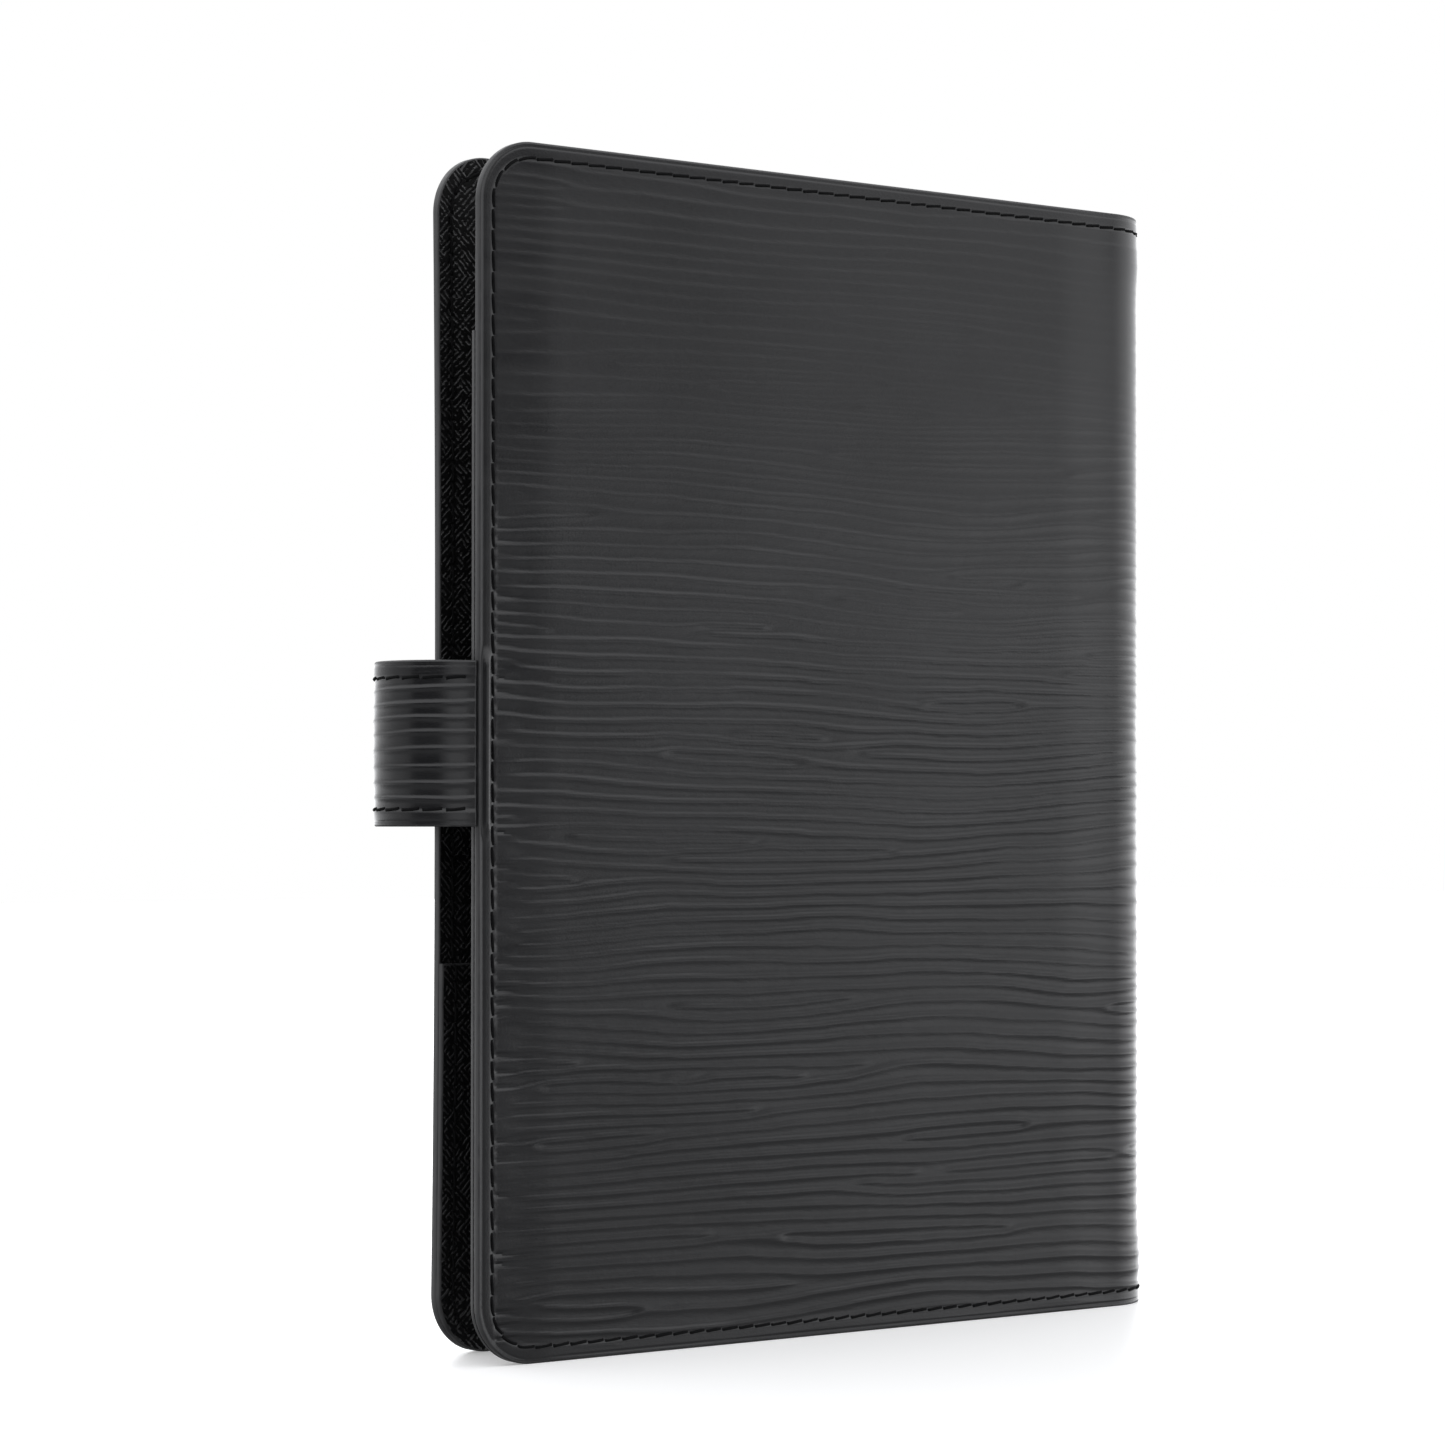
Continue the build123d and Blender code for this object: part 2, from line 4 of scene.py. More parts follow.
import bmesh
import bpy
import numpy as np
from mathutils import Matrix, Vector


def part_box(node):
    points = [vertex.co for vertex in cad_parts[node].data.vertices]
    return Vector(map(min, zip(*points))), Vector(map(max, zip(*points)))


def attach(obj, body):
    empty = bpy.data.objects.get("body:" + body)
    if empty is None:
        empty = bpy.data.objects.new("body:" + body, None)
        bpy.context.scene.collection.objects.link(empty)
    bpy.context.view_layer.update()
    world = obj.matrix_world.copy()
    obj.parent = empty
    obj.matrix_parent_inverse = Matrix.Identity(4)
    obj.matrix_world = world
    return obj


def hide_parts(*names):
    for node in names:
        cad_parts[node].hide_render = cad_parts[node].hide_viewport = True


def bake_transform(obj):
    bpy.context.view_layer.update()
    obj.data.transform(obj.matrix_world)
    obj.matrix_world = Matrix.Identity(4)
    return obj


# The looks of a six-ring leather notebook cover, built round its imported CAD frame.
#
# A flat piece of leather is described by s, the distance along its outside face, by z, the height,
# and by depth, the distance in from the outside face. For the covers s starts at the back cover's
# fore-edge and runs round the spine to the front cover's fore-edge. For the strap s starts at its
# free end. Lengths are in millimetres until place_points() turns them into metres.

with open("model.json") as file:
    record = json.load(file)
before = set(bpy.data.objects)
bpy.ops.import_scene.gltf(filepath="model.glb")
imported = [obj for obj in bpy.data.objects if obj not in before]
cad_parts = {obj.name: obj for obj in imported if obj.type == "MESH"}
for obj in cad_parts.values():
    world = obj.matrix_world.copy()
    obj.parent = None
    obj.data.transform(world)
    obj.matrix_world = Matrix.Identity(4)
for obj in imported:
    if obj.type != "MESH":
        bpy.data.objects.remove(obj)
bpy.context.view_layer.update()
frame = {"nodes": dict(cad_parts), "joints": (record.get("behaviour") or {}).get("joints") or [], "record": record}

MM = 0.001

# ---------------------------------------------------------------- covers, in mm
SPINE_RADIUS = 11.0
CORNER = 9.5
LEATHER = 1.1
LINING = 0.6
COVER = LEATHER + LINING
EDGE_ROUND = 0.38  # rounding of a painted edge
EDGE_TURNS = (0.35, 0.7, 1.0)  # steps of the quarter turn round a painted edge
THIN_ROUND = 0.25  # rounding of a lining's edge
SEAM_INSET = 2.5
CREASE_INSET = 0.75
EDGE_FALL = 0.35  # how far the cover falls away towards its fore-edge
EDGE_FALL_REACH = 14.0
SHOULDER_FALL = 0.32  # how far the covers fall away towards the spine
SHOULDER_REACH = 13.0
SPRING = 1.0  # how far the front cover's corners spring outwards, off the strap
BEND_REACH = 1.0  # a fold bends the leather from this far inside the cover
BEND_SHARE = 0.66  # ... and over this share of the spine's round corner
SPINE_PUFF = 0.45  # how far the leather puffs out round the spine, inside its seam
PUFF_INSET = 7.5
PUFF_WIDTH = 4.0
BOARD_INSET = 5.0
BOARD_CORNER = 4.0
BOARD_DEPTH = 0.65  # how deep in the leather the board's face lies
BOARD_ROUND = 0.08

# ---------------------------------------------------------------- pockets, in mm
POCKET = 0.9
POCKET_HOLLOW = 0.2  # the gap behind a pocket's panel, inside its seam
POCKET_ROUND = 0.3
CARD_START = 10.0
CARD_END = 108.0
CARD_PANEL = 0.45
CARD_ROUND = 0.16
CARD_SEAM = 1.6
CARD_SLOTS = ("card_slot_top", "card_slot_middle", "card_slot_lower")

# ---------------------------------------------------------------- strap and snap, in mm
STRAP_LEATHER = 1.2
STRAP = 1.8
STRAP_CORNER = 8.0
STRAP_ROUND = 0.3
STRAP_LINING_ROUND = 0.2
STRAP_SEAM_INSET = 2.6
ROOT_SEAM_END = 1.6  # the strap's seams end this far before its root
STRAP_BULGE = 0.65  # the strap's root lifts the back cover's margin by this much
STRAP_BOW = 0.35  # the loop stands out by this much along its middle
FLAP = 33.0
LOOP_ROOT_ANGLE = 266.3  # degrees round the loop where it meets the back cover's edge
TIP_BEND = (180, 95)  # degrees round the loop where its upper fold bends the leather
ROOT_BEND = (265, 180)  # ... and its lower fold
CAP_RISE = 1.6  # top of the snap's cap above the strap
CAP_RIM = 0.35
CAP_LIP = 0.5  # flat step between the cap's rolled rim and its dome
SHANK_RADIUS = 1.4
SHANK_REACH = 0.45  # how far the cap's shank passes the strap's inside

# ---------------------------------------------------------------- seams and grain, in mm
STITCH_PITCH = 3.2
STITCH_LENGTH = 2.95
STITCH_SLANT = 0.13  # how far a stitch's ends stray from the seam
STITCH_GROOVE = 0.07
THREAD_RADIUS = 0.23
PUCKER_PITCH = 1.9
PUCKER_DEPTH = 0.24
PUCKER_LEAN = 0.8  # furrows are this much steeper on their upper side
GRAIN_PITCH = 2.3
GRAIN_DEPTH = 0.19
GRAIN_LEAN = 0.5  # ridges are this much steeper on their upper side
GRAIN_PAIRS = 170  # places where one more ridge starts and, further on, ends
GRAIN_RUN = 560.0  # s over which they are spread: both covers, and the strap beyond them
STRAP_GRAIN = (420, 7)  # the strap is cut from this place, in s and z, on the same hide
FORK_LENGTH = 4.0  # how much longer than wide a fork is
WORN_SMOOTH = 0.72  # share of the grain that is rubbed away at the covers' top
STRAP_RIBS = 0.9  # the strap's grain, as a share of the covers'
HATCH = 390.0  # scale of the lining's crossing ridges, which are 0.8 mm apart
FLAT_PLACE = "flat_place"  # mesh attribute with each point's place on the flat leather, in metres

# ---------------------------------------------------------------- meshes
LATTICE = 256  # points each way in a noise before it repeats
CORNER_POINTS = 14  # points of a seam's path round a corner
CORNER_FADE = 30.0  # a rounded corner's setback fades out over this much of s
HIDDEN_ROWS = 24
FLAT_COLUMN = 18.0  # widest faces of the hidden side, where the leather is flat
BENT_COLUMN = 1.2  # ... and where it bends
SHARP = 50  # degrees over which a sheet's edge stays crisp under smooth shading
CAP_SHARP = 40
STITCH_RINGS = 9
STITCH_SIDES = 8
CAP_SIDES = 96

# ---------------------------------------------------------------- camera and light
CAMERA_PLACE = (-330.0, -500.0, 82.0)  # mm, from the back cover's lower fore-edge corner
CAMERA_HEADING = 36.9  # degrees from +Y towards +X
CAMERA_RISE = 1.4  # degrees above level
LENS = 99.4
SENSOR = 36.0
FLOOR_HALF = 3.0  # metres
FLOOR_GLOW = 0.28
STUDIO_TINT = (0.975, 0.982, 1.0)
# brightness of the studio wall by heading: degrees from +X, as (heading, level)
WALL = (
    (-180, 0.45), (-172, 0.10), (-165, 0.04), (-125, 0.04), (-116, 0.45), (-106, 0.80),
    (-86, 0.80), (-74, 0.30), (-60, 0.12), (-53, 0.84), (-45, 1.2), (-30, 1.5),
    (0, 1.7), (60, 1.7), (120, 0.9), (160, 0.6), (180, 0.45),
)
WALL_RANGE = 3.0  # the ramp's colours are fractions of this level
# heights below are on the unit sphere of directions, from -1 straight down to 1 straight up
HORIZON = (-0.26, -0.09)  # where the ground ends and the wall is full
GROUND = (-0.75, -0.2)  # where the ground brightens, away from the object
GROUND_LEVELS = (0.15, 0.5)
FOOT = (-0.07, 0.09)  # the wall is brighter below these heights
FOOT_LEVEL = 1.55
CEILING = (0.14, 0.42)  # where the wall brightens to the ceiling's level
CEILING_LEVEL = 1.7


def box_mm(node):
    """A CAD node's lowest and highest corner in millimetres."""
    low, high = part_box(node)
    return np.array(low) / MM, np.array(high) / MM


BACK_LOW, BACK_HIGH = box_mm("back_cover_leather")
SPINE_HIGH = box_mm("spine_leather")[1]
FRONT_LOW, FRONT_HIGH = box_mm("front_cover_leather")
STRAP_LOW, STRAP_HIGH = box_mm("strap_tip_leather")
HEIGHT = BACK_HIGH[2]
WIDTH = SPINE_HIGH[0] - BACK_LOW[0]
DEPTH = FRONT_HIGH[1] - BACK_LOW[1]
STRAP_WIDTH = STRAP_HIGH[2] - STRAP_LOW[2]
STRAP_MIDDLE = (STRAP_HIGH[2] + STRAP_LOW[2]) / 2
POCKET_END = box_mm("back_pocket")[1][0] - BACK_LOW[0]
JOINT = {j["name"]: j for j in frame["joints"]}

# ---------------------------------------------------------------- where leather lies
# Cover coordinates: x from the back cover's fore-edge, y from its outside face.
CORNER_SHIFT = np.array([BACK_LOW[0], BACK_LOW[1]])
BEND_X = WIDTH - SPINE_RADIUS
BACK_BEND = np.array([BEND_X, SPINE_RADIUS])
FRONT_BEND = np.array([BEND_X, DEPTH - SPINE_RADIUS])
TURNED = math.radians(JOINT["spine_front_fold"]["range_deg"][1] - 90.0)  # wedge of the closed cover
BEND_BACK_LENGTH = SPINE_RADIUS * math.pi / 2
BEND_FRONT_LENGTH = SPINE_RADIUS * (math.pi / 2 + TURNED)
SPINE_FLAT = DEPTH - 2 * SPINE_RADIUS
S_BACK = BEND_X  # the back cover's flat part ends here
S_SPINE = S_BACK + BEND_BACK_LENGTH
S_SPINE_END = S_SPINE + SPINE_FLAT
S_FRONT = S_SPINE_END + BEND_FRONT_LENGTH
FRONT_ALONG = np.array([-math.cos(TURNED), -math.sin(TURNED)])
FRONT_OUT = np.array([-math.sin(TURNED), math.cos(TURNED)])
FRONT_START = FRONT_BEND + SPINE_RADIUS * FRONT_OUT
S_MIDDLE = (S_SPINE + S_SPINE_END) / 2


def front_run():
    """The flat length of the front cover, from the lowest x of its box."""
    setback = FRONT_LOW[0] - BACK_LOW[0]
    return (FRONT_START[0] - setback) / math.cos(TURNED)


FRONT_RUN = front_run()
S_END = S_FRONT + FRONT_RUN


def fold_point(name):
    """A fold's axis in cover coordinates."""
    return np.array(JOINT[name]["pos_m"][:2]) / MM - CORNER_SHIFT


LOOP_LOW = fold_point("strap_root_fold")
LOOP_HIGH = fold_point("strap_flap_fold")
LOOP_RADIUS = (LOOP_HIGH[1] - LOOP_LOW[1]) / math.sqrt(2)
LOOP_CENTRE = LOOP_LOW + LOOP_RADIUS / math.sqrt(2)


def on_circle(centre, radius, angle):
    """Points at angles (radians) round a centre, as x, y."""
    return centre[0] + radius * np.cos(angle), centre[1] + radius * np.sin(angle)


def cover_xy(s, depth):
    """x, y of the covers' leather at s and depth, in cover coordinates."""
    back_angle = (s - S_BACK) / SPINE_RADIUS - math.pi / 2
    front_angle = (s - S_SPINE_END) / SPINE_RADIUS
    bend_back = on_circle(BACK_BEND, SPINE_RADIUS - depth, back_angle)
    bend_front = on_circle(FRONT_BEND, SPINE_RADIUS - depth, front_angle)
    along = s - S_FRONT
    flat_front = [FRONT_START[k] + along * FRONT_ALONG[k] - depth * FRONT_OUT[k] for k in (0, 1)]
    parts = [s < S_BACK, s < S_SPINE, s < S_SPINE_END, s < S_FRONT]
    x = np.select(parts, [s, bend_back[0], WIDTH - depth, bend_front[0]], flat_front[0])
    y = np.select(parts, [depth, bend_back[1], SPINE_RADIUS + s - S_SPINE, bend_front[1]], flat_front[1])
    return x, y


def strap_xy(s, depth):
    """x, y of the strap at s from its free end, in cover coordinates."""
    start = math.pi / 2 + TURNED
    angle = start + (s - FLAP) / LOOP_RADIUS
    loop = on_circle(LOOP_CENTRE, LOOP_RADIUS - depth, angle)
    foot = on_circle(LOOP_CENTRE, LOOP_RADIUS - depth, start)
    along = FLAP - s
    flat = [foot[k] - along * FRONT_ALONG[k] for k in (0, 1)]
    return np.where(s < FLAP, flat[0], loop[0]), np.where(s < FLAP, flat[1], loop[1])


def smooth(low, high, value):
    """0 below low, 1 above high, and a smooth step between."""
    t = np.clip((value - low) / (high - low), 0, 1)
    return t * t * (3 - 2 * t)


def spring_out(x, z):
    """How far the front cover's fore-edge springs outwards above and below the strap."""
    reach = 1 - smooth(0, 0.75 * WIDTH, x)
    from_strap = (z - STRAP_MIDDLE) / (HEIGHT / 2)
    return reach * (SPRING * np.abs(from_strap) ** 2.2 - 0.1)


def cover_place(s, z, depth):
    """Metres, in the row frame, of points in the covers' leather."""
    x, y = cover_xy(s, depth)
    on_front = smooth(S_SPINE_END, S_FRONT + 20, s)
    return place_points(x, y + on_front * spring_out(x, z), z)


def strap_place(s, z, depth):
    """Metres, in the row frame, of points in the strap; it bows out a little along its middle."""
    x, y = strap_xy(s, depth)
    across = (z - STRAP_MIDDLE) / (STRAP_WIDTH / 2)
    round_loop = smooth(FLAP - 2, FLAP + 8, s) * (1 - smooth(loop_length() - 9, loop_length(), s))
    return place_points(x - STRAP_BOW * round_loop * (1 - across**2), y, z)


def loop_length():
    """s at the strap's root, where it meets the back cover's edge."""
    return FLAP + LOOP_RADIUS * (math.radians(LOOP_ROOT_ANGLE) - math.pi / 2 - TURNED)


def place_points(x, y, z):
    """Cover coordinates in millimetres to the row frame in metres."""
    return np.stack([x + CORNER_SHIFT[0], y + CORNER_SHIFT[1], z], axis=-1) * MM


# ---------------------------------------------------------------- surface relief, in mm
def noise(x, y, seed):
    """Smooth noise between -1 and 1 with features about one unit wide.

    Below it is used as noise(s / length along, z / length up, seed), times its height in mm.
    """
    lattice = np.random.default_rng(seed).uniform(-1, 1, (LATTICE, LATTICE))
    column, row = np.floor(x).astype(int), np.floor(y).astype(int)
    u, v = x - column, y - row
    u, v = u * u * (3 - 2 * u), v * v * (3 - 2 * v)
    left, right = column % LATTICE, (column + 1) % LATTICE
    near, far = row % LATTICE, (row + 1) % LATTICE
    near_value = lattice[near, left] * (1 - u) + lattice[near, right] * u
    far_value = lattice[far, left] * (1 - u) + lattice[far, right] * u
    return near_value * (1 - v) + far_value * v


def leaning_wave(phase, lean):
    """A wave between 0 and 1 that is steeper on its upper side."""
    return 0.5 + 0.5 * np.cos(phase - lean * np.cos(phase))


def forks(s, z):
    """Phase that starts one more ridge at some places and ends it further along."""
    rng = np.random.default_rng(3)
    phase = 0.0 * s
    for _ in range(GRAIN_PAIRS):
        start_s, start_z = rng.uniform(-40, GRAIN_RUN), rng.uniform(-5, HEIGHT + 5)
        end_s, end_z = start_s + rng.uniform(12, 60), start_z + rng.uniform(-1.5, 1.5)
        phase += np.arctan2(FORK_LENGTH * (z - start_z), s - start_s)
        phase -= np.arctan2(FORK_LENGTH * (z - end_z), s - end_s)
    return phase


def ripple(s, z):
    """Depth of the embossed water-ripple grain: long, gently wavy ridges that fork and merge."""
    drift = 0.7 * noise(s / 45, z / 16, 1) + 0.2 * noise(s / 17, z / 6, 2) + 0.05 * noise(s / 5, z / 2, 3)
    phase = 2 * np.pi * (z / GRAIN_PITCH + drift) + forks(s, z)
    crest = leaning_wave(phase, GRAIN_LEAN)
    strength = 0.7 + 0.3 * smooth(-0.6, 0.5, noise(s / 19, z / 3.1, 4))
    fine = 0.04 * noise(s / 1.4, z / 0.5, 5)
    return GRAIN_DEPTH * (1 - strength * crest**2.5 + fine)


def groove(distance, middle, width, depth):
    """A groove of a width and depth whose middle is at a distance."""
    return depth * np.exp(-(((distance - middle) / width) ** 2))


def from_edge(s, z, low, high, corner_low, corner_high):
    """Distance in from a sheet's free edge, at s = 0, and from its low and high edges."""
    distance = np.minimum(np.minimum(s, z - low), high - z)
    for corner, along in ((corner_low, z - low), (corner_high, high - z)):
        if corner > 0:
            inside = (s < corner) & (along < corner)
            round_distance = corner - np.hypot(corner - s, corner - along)
            distance = np.where(inside, round_distance, distance)
    return distance


def seamed_relief(distance, grain, seam_inset):
    """Relief of leather near its sewn edge: crease, stitch line and then the open grain."""
    flattened = 0.15 + 0.85 * smooth(seam_inset - 0.5, seam_inset + 1.0, distance)
    relief = grain * flattened
    relief += groove(distance, CREASE_INSET, 0.18, 0.06)
    relief += groove(distance, seam_inset, 0.32, STITCH_GROOVE)
    relief += 0.06 * smooth(seam_inset - 0.3, seam_inset + 0.3, distance)
    return relief


def puckers(s, z):
    """Short furrows where the fore-edge's stitches draw the leather in."""
    wander = 0.6 * noise(s / 20, z / 6, 61)
    phase = 2 * np.pi * (z / PUCKER_PITCH + wander)
    furrow = leaning_wave(phase, PUCKER_LEAN) ** 2
    some = smooth(-0.5, 0.3, noise(0 * s, z / 2.1, 62))
    reach = smooth(9.5, 3.2, s) * smooth(SEAM_INSET + 0.2, SEAM_INSET + 0.9, s)
    return PUCKER_DEPTH * furrow * some * reach


def strap_bulge(s, z):
    """How much the leather stands out over the strap's root, between the edge and the seam."""
    over_strap = smooth(STRAP_WIDTH / 2 + 2.5, STRAP_WIDTH / 2 - 1.0, np.abs(z - STRAP_MIDDLE))
    return STRAP_BULGE * (over_strap * smooth(0.3, 1.2, s) * (1 - smooth(1.2, SEAM_INSET + 0.1, s)))


def spine_puff(s, distance):
    """How much the leather puffs out round the spine, at a distance in from the low and high edges."""
    around_spine = smooth(S_BACK - 4, S_SPINE, s) * (1 - smooth(S_SPINE_END, S_FRONT + 4, s))
    return around_spine * (groove(distance, PUFF_INSET, PUFF_WIDTH, SPINE_PUFF) - 0.1)


def shoulder_fall(s):
    """How far the covers' flat leather falls away towards the spine."""
    from_flat = np.where(s < S_MIDDLE, S_BACK - s, s - S_FRONT)
    past_flat = smooth(0, -SHOULDER_REACH, from_flat)
    return SHOULDER_FALL * smooth(SHOULDER_REACH, 0, from_flat) * (1 - past_flat)


def cover_relief(s, z):
    """Depth of the outside leather's surface below its smooth face."""
    from_fore_edge = np.where(s < S_MIDDLE, s, S_END - s)
    distance = from_edge(from_fore_edge, z, 0, HEIGHT, CORNER, CORNER)
    worn_smooth = 1 - WORN_SMOOTH * smooth(0.5 * HEIGHT, 0.88 * HEIGHT, z)
    near_seam = 1 - 0.5 * smooth(9, 4, from_fore_edge)
    relief = seamed_relief(distance, ripple(s, z) * worn_smooth * near_seam, SEAM_INSET)
    relief += puckers(from_fore_edge, z) * smooth(0.78 * HEIGHT, 0.6 * HEIGHT, z)
    relief += EDGE_FALL * smooth(EDGE_FALL_REACH, 0, from_fore_edge)
    waviness = 0.05 * noise(s / 30, z / 26, 11)
    return relief - strap_bulge(s, z) - spine_puff(s, distance) + waviness + shoulder_fall(s)


def strap_relief(s, z):
    """Depth of the strap's outside surface."""
    distance = from_edge(s, z, STRAP_LOW[2], STRAP_HIGH[2], STRAP_CORNER, STRAP_CORNER)
    ribs = STRAP_RIBS * ripple(s + STRAP_GRAIN[0], z + STRAP_GRAIN[1])
    return seamed_relief(distance, ribs, STRAP_SEAM_INSET)


def lining_relief(s, z):
    """Depth of the lining's slight unevenness; its fine grain is in the material."""
    return 0.04 + 0.04 * noise(s / 9, z / 9, 21) + 0.02 * noise(s / 2.2, z / 2.2, 22)


def inside_cover_relief(s, z):
    """The lining of a cover, with its seam pulled in; s runs from that cover's fore-edge."""
    distance = from_edge(s, z, 0, HEIGHT, CORNER, CORNER)
    return lining_relief(s, z) + groove(distance, SEAM_INSET, 0.45, 0.12)


def board_relief(s, z):
    """The board's faint waviness."""
    return 0.02 * noise(s / 12, z / 12, 31)


def pocket_rise(s, z):
    """How far the front cover's pocket stands off the lining to make room for the card slots."""
    sideways = smooth(6.2, 9.6, s) * (1 - smooth(CARD_END + 1.5, CARD_END + 5.5, s))
    return len(CARD_SLOTS) * CARD_PANEL * sideways * smooth(5.5, 10, z)


def pocket_relief(top, rise):
    """The relief of a pocket whose opening is at height `top` and which stands out by rise(s, z)."""

    def relief(s, z):
        distance = from_edge(s, z, 0, 2 * HEIGHT, CORNER, 0)
        distance = np.minimum(distance, POCKET_END - s)
        depth = lining_relief(s + 37, z)
        depth += groove(distance, SEAM_INSET, 0.45, 0.14)
        depth += groove(top - z, 1.6, 0.2, 0.09)
        depth += 0.12 * smooth(0, 8, top - z) * smooth(0, 12, distance) * noise(s / 26, z / 26, 24)
        return depth - rise(s, z)

    return relief


def card_relief(top):
    """The relief of a card slot with its opening at height `top`."""

    def relief(s, z):
        side = np.minimum(s - CARD_START, CARD_END - s)
        depth = 0.5 * lining_relief(s + 71, z)
        depth += groove(side, CARD_SEAM, 0.35, 0.08)
        return depth + groove(top - z, 1.3, 0.18, 0.07)

    return relief


# ---------------------------------------------------------------- meshes
def make_object(name, points, faces, material_index, materials, flat=None):
    """A mesh object from points in metres and faces of any size.

    `flat` gives each point's place on the flat leather, which the materials read for their grain.
    """
    mesh = bpy.data.meshes.new(name)
    mesh.from_pydata([tuple(p) for p in points], [], faces)
    for material in materials:
        mesh.materials.append(material)
    mesh.polygons.foreach_set("material_index", material_index)
    mesh.polygons.foreach_set("use_smooth", [True] * len(faces))
    if flat is not None:
        attribute = mesh.attributes.new(FLAT_PLACE, "FLOAT_VECTOR", "POINT")
        attribute.data.foreach_set("vector", flat.astype(np.float32).ravel())
    work = bmesh.new()
    work.from_mesh(mesh)
    bmesh.ops.recalc_face_normals(work, faces=work.faces)
    work.to_mesh(mesh)
    work.free()
    obj = bpy.data.objects.new(name, mesh)
    bpy.context.scene.collection.objects.link(obj)
    return obj


def mark_sharp(obj, degrees):
    """Keeps edges sharper than an angle crisp under smooth shading."""
    work = bmesh.new()
    work.from_mesh(obj.data)
    for edge in work.edges:
        if len(edge.link_faces) == 2 and edge.calc_face_angle(0) > math.radians(degrees):
            edge.smooth = False
    work.to_mesh(obj.data)
    work.free()


def steps(low, high, most, fine, margin_low, margin_high):
    """Values from low to high, about `fine` apart near a margin's end and `most` apart elsewhere."""
    values = [low]
    while values[-1] < high:
        here = values[-1]
        near_low = here - low < margin_low
        near_high = high - here < margin_high
        values.append(here + (fine if near_low or near_high else most))
    values = np.array(values)
    return low + (values - low) * (high - low) / (values[-1] - low)


def height_rows(low, high, corner_low, corner_high, most, fine):
    """Row heights of a sheet, closer together round its corners and near its edges."""

    def round_in(corner):
        count = max(3, int(corner * math.pi / 2 / fine))
        return corner * (1 - np.cos(np.linspace(0, np.pi / 2, count)))

    bottom = low + round_in(corner_low) if corner_low else [low]
    top = high - round_in(corner_high)[::-1] if corner_high else [high]
    middle = steps(bottom[-1], top[0], most, fine, 0 if corner_low else 4, 0 if corner_high else 4)
    return np.concatenate([bottom, middle[1:-1], top])


def edge_start(z, low, high, corner_low, corner_high):
    """How far a rounded corner sets the free edge back at each height."""
    back = np.zeros_like(z)
    for corner, along in ((corner_low, z - low), (corner_high, high - z)):
        if corner > 0:
            rise = np.clip(corner - along, 0, corner)
            back = np.maximum(back, corner - np.sqrt(np.maximum(corner**2 - rise**2, 0)))
    return back


def rim_of(rows, columns, open_end):
    """Grid places round a sheet's rim, from the far end of the low edge to that of the high edge."""
    rim = [(0, i) for i in range(columns - 1, -1, -1)]
    rim += [(j, 0) for j in range(1, rows)]
    rim += [(rows - 1, i) for i in range(1, columns)]
    if not open_end:
        rim += [(j, columns - 1) for j in range(rows - 2, 0, -1)]
    return rim


def rim_outwards(rim_j, rim_i, rows, columns, heights, corner, open_end):
    """Which way is out, along s and z, at each place on the rim."""
    out_s = np.zeros(len(rim_j))
    out_z = np.zeros(len(rim_j))
    out_z[rim_j == 0] = -1
    out_z[rim_j == rows - 1] = 1
    if not open_end:
        out_s[rim_i == columns - 1] = 1
    on_left = rim_i == 0
    out_s[on_left] = -1
    for c, edge_z, sign in ((corner[0], heights[0], -1), (corner[1], heights[-1], 1)):
        if c > 0:
            from_corner = np.abs(heights[rim_j] - edge_z)
            turning = on_left & (from_corner < c)
            rise = c - from_corner
            out_z[turning] = (sign * rise / c)[turning]
            out_s[turning] = -np.sqrt(np.maximum(1 - (rise / c) ** 2, 0))[turning]
    return out_s, out_z


def sheet_grid(s, z, corner, open_end, rounding):
    """The seen side's grid: set in from the free edges by their rounding, and round the corners."""
    low, high = z[0], z[-1]
    heights = low + rounding + (z - low) * (high - low - 2 * rounding) / (high - low)
    end = s[-1] if open_end else s[-1] - rounding
    along = s[0] + rounding + (s - s[0]) * (end - s[0] - rounding) / (s[-1] - s[0])
    fade = 1 - smooth(0, CORNER_FADE, along - along[0])
    setback = edge_start(heights, heights[0], heights[-1], *corner)
    grid_s = along[None, :] + setback[:, None] * fade[None, :]
    return grid_s, np.repeat(heights[:, None], len(s), 1)


def rim_faces(rings, open_end):
    """The faces between rings of points that run round a sheet's rim."""
    length = len(rings[0])
    faces = []
    for upper, lower in zip(rings[:-1], rings[1:]):
        for k in range(length - 1 if open_end else length):
            n = (k + 1) % length
            faces.append([upper[k], upper[n], lower[n], lower[k]])
    return faces


def hidden_faces(index, keep_rows, keep_columns, open_end):
    """The hidden side's coarse faces; one that touches the rim takes in all the rim's points there."""
    last_row, last_column = keep_rows[-1], keep_columns[-1]
    faces = []
    for a, b in zip(keep_rows[:-1], keep_rows[1:]):
        for c, d in zip(keep_columns[:-1], keep_columns[1:]):
            loop = [index[a, c]]
            loop += [index[0, i] for i in range(c + 1, d)] if a == 0 else []
            loop += [index[a, d]]
            if d == last_column and not open_end:
                loop += [index[j, d] for j in range(a + 1, b)]
            loop += [index[b, d]]
            loop += [index[last_row, i] for i in range(d - 1, c, -1)] if b == last_row else []
            loop += [index[b, c]]
            loop += [index[j, 0] for j in range(b - 1, a, -1)] if c == 0 else []
            faces.append(loop)
    return faces


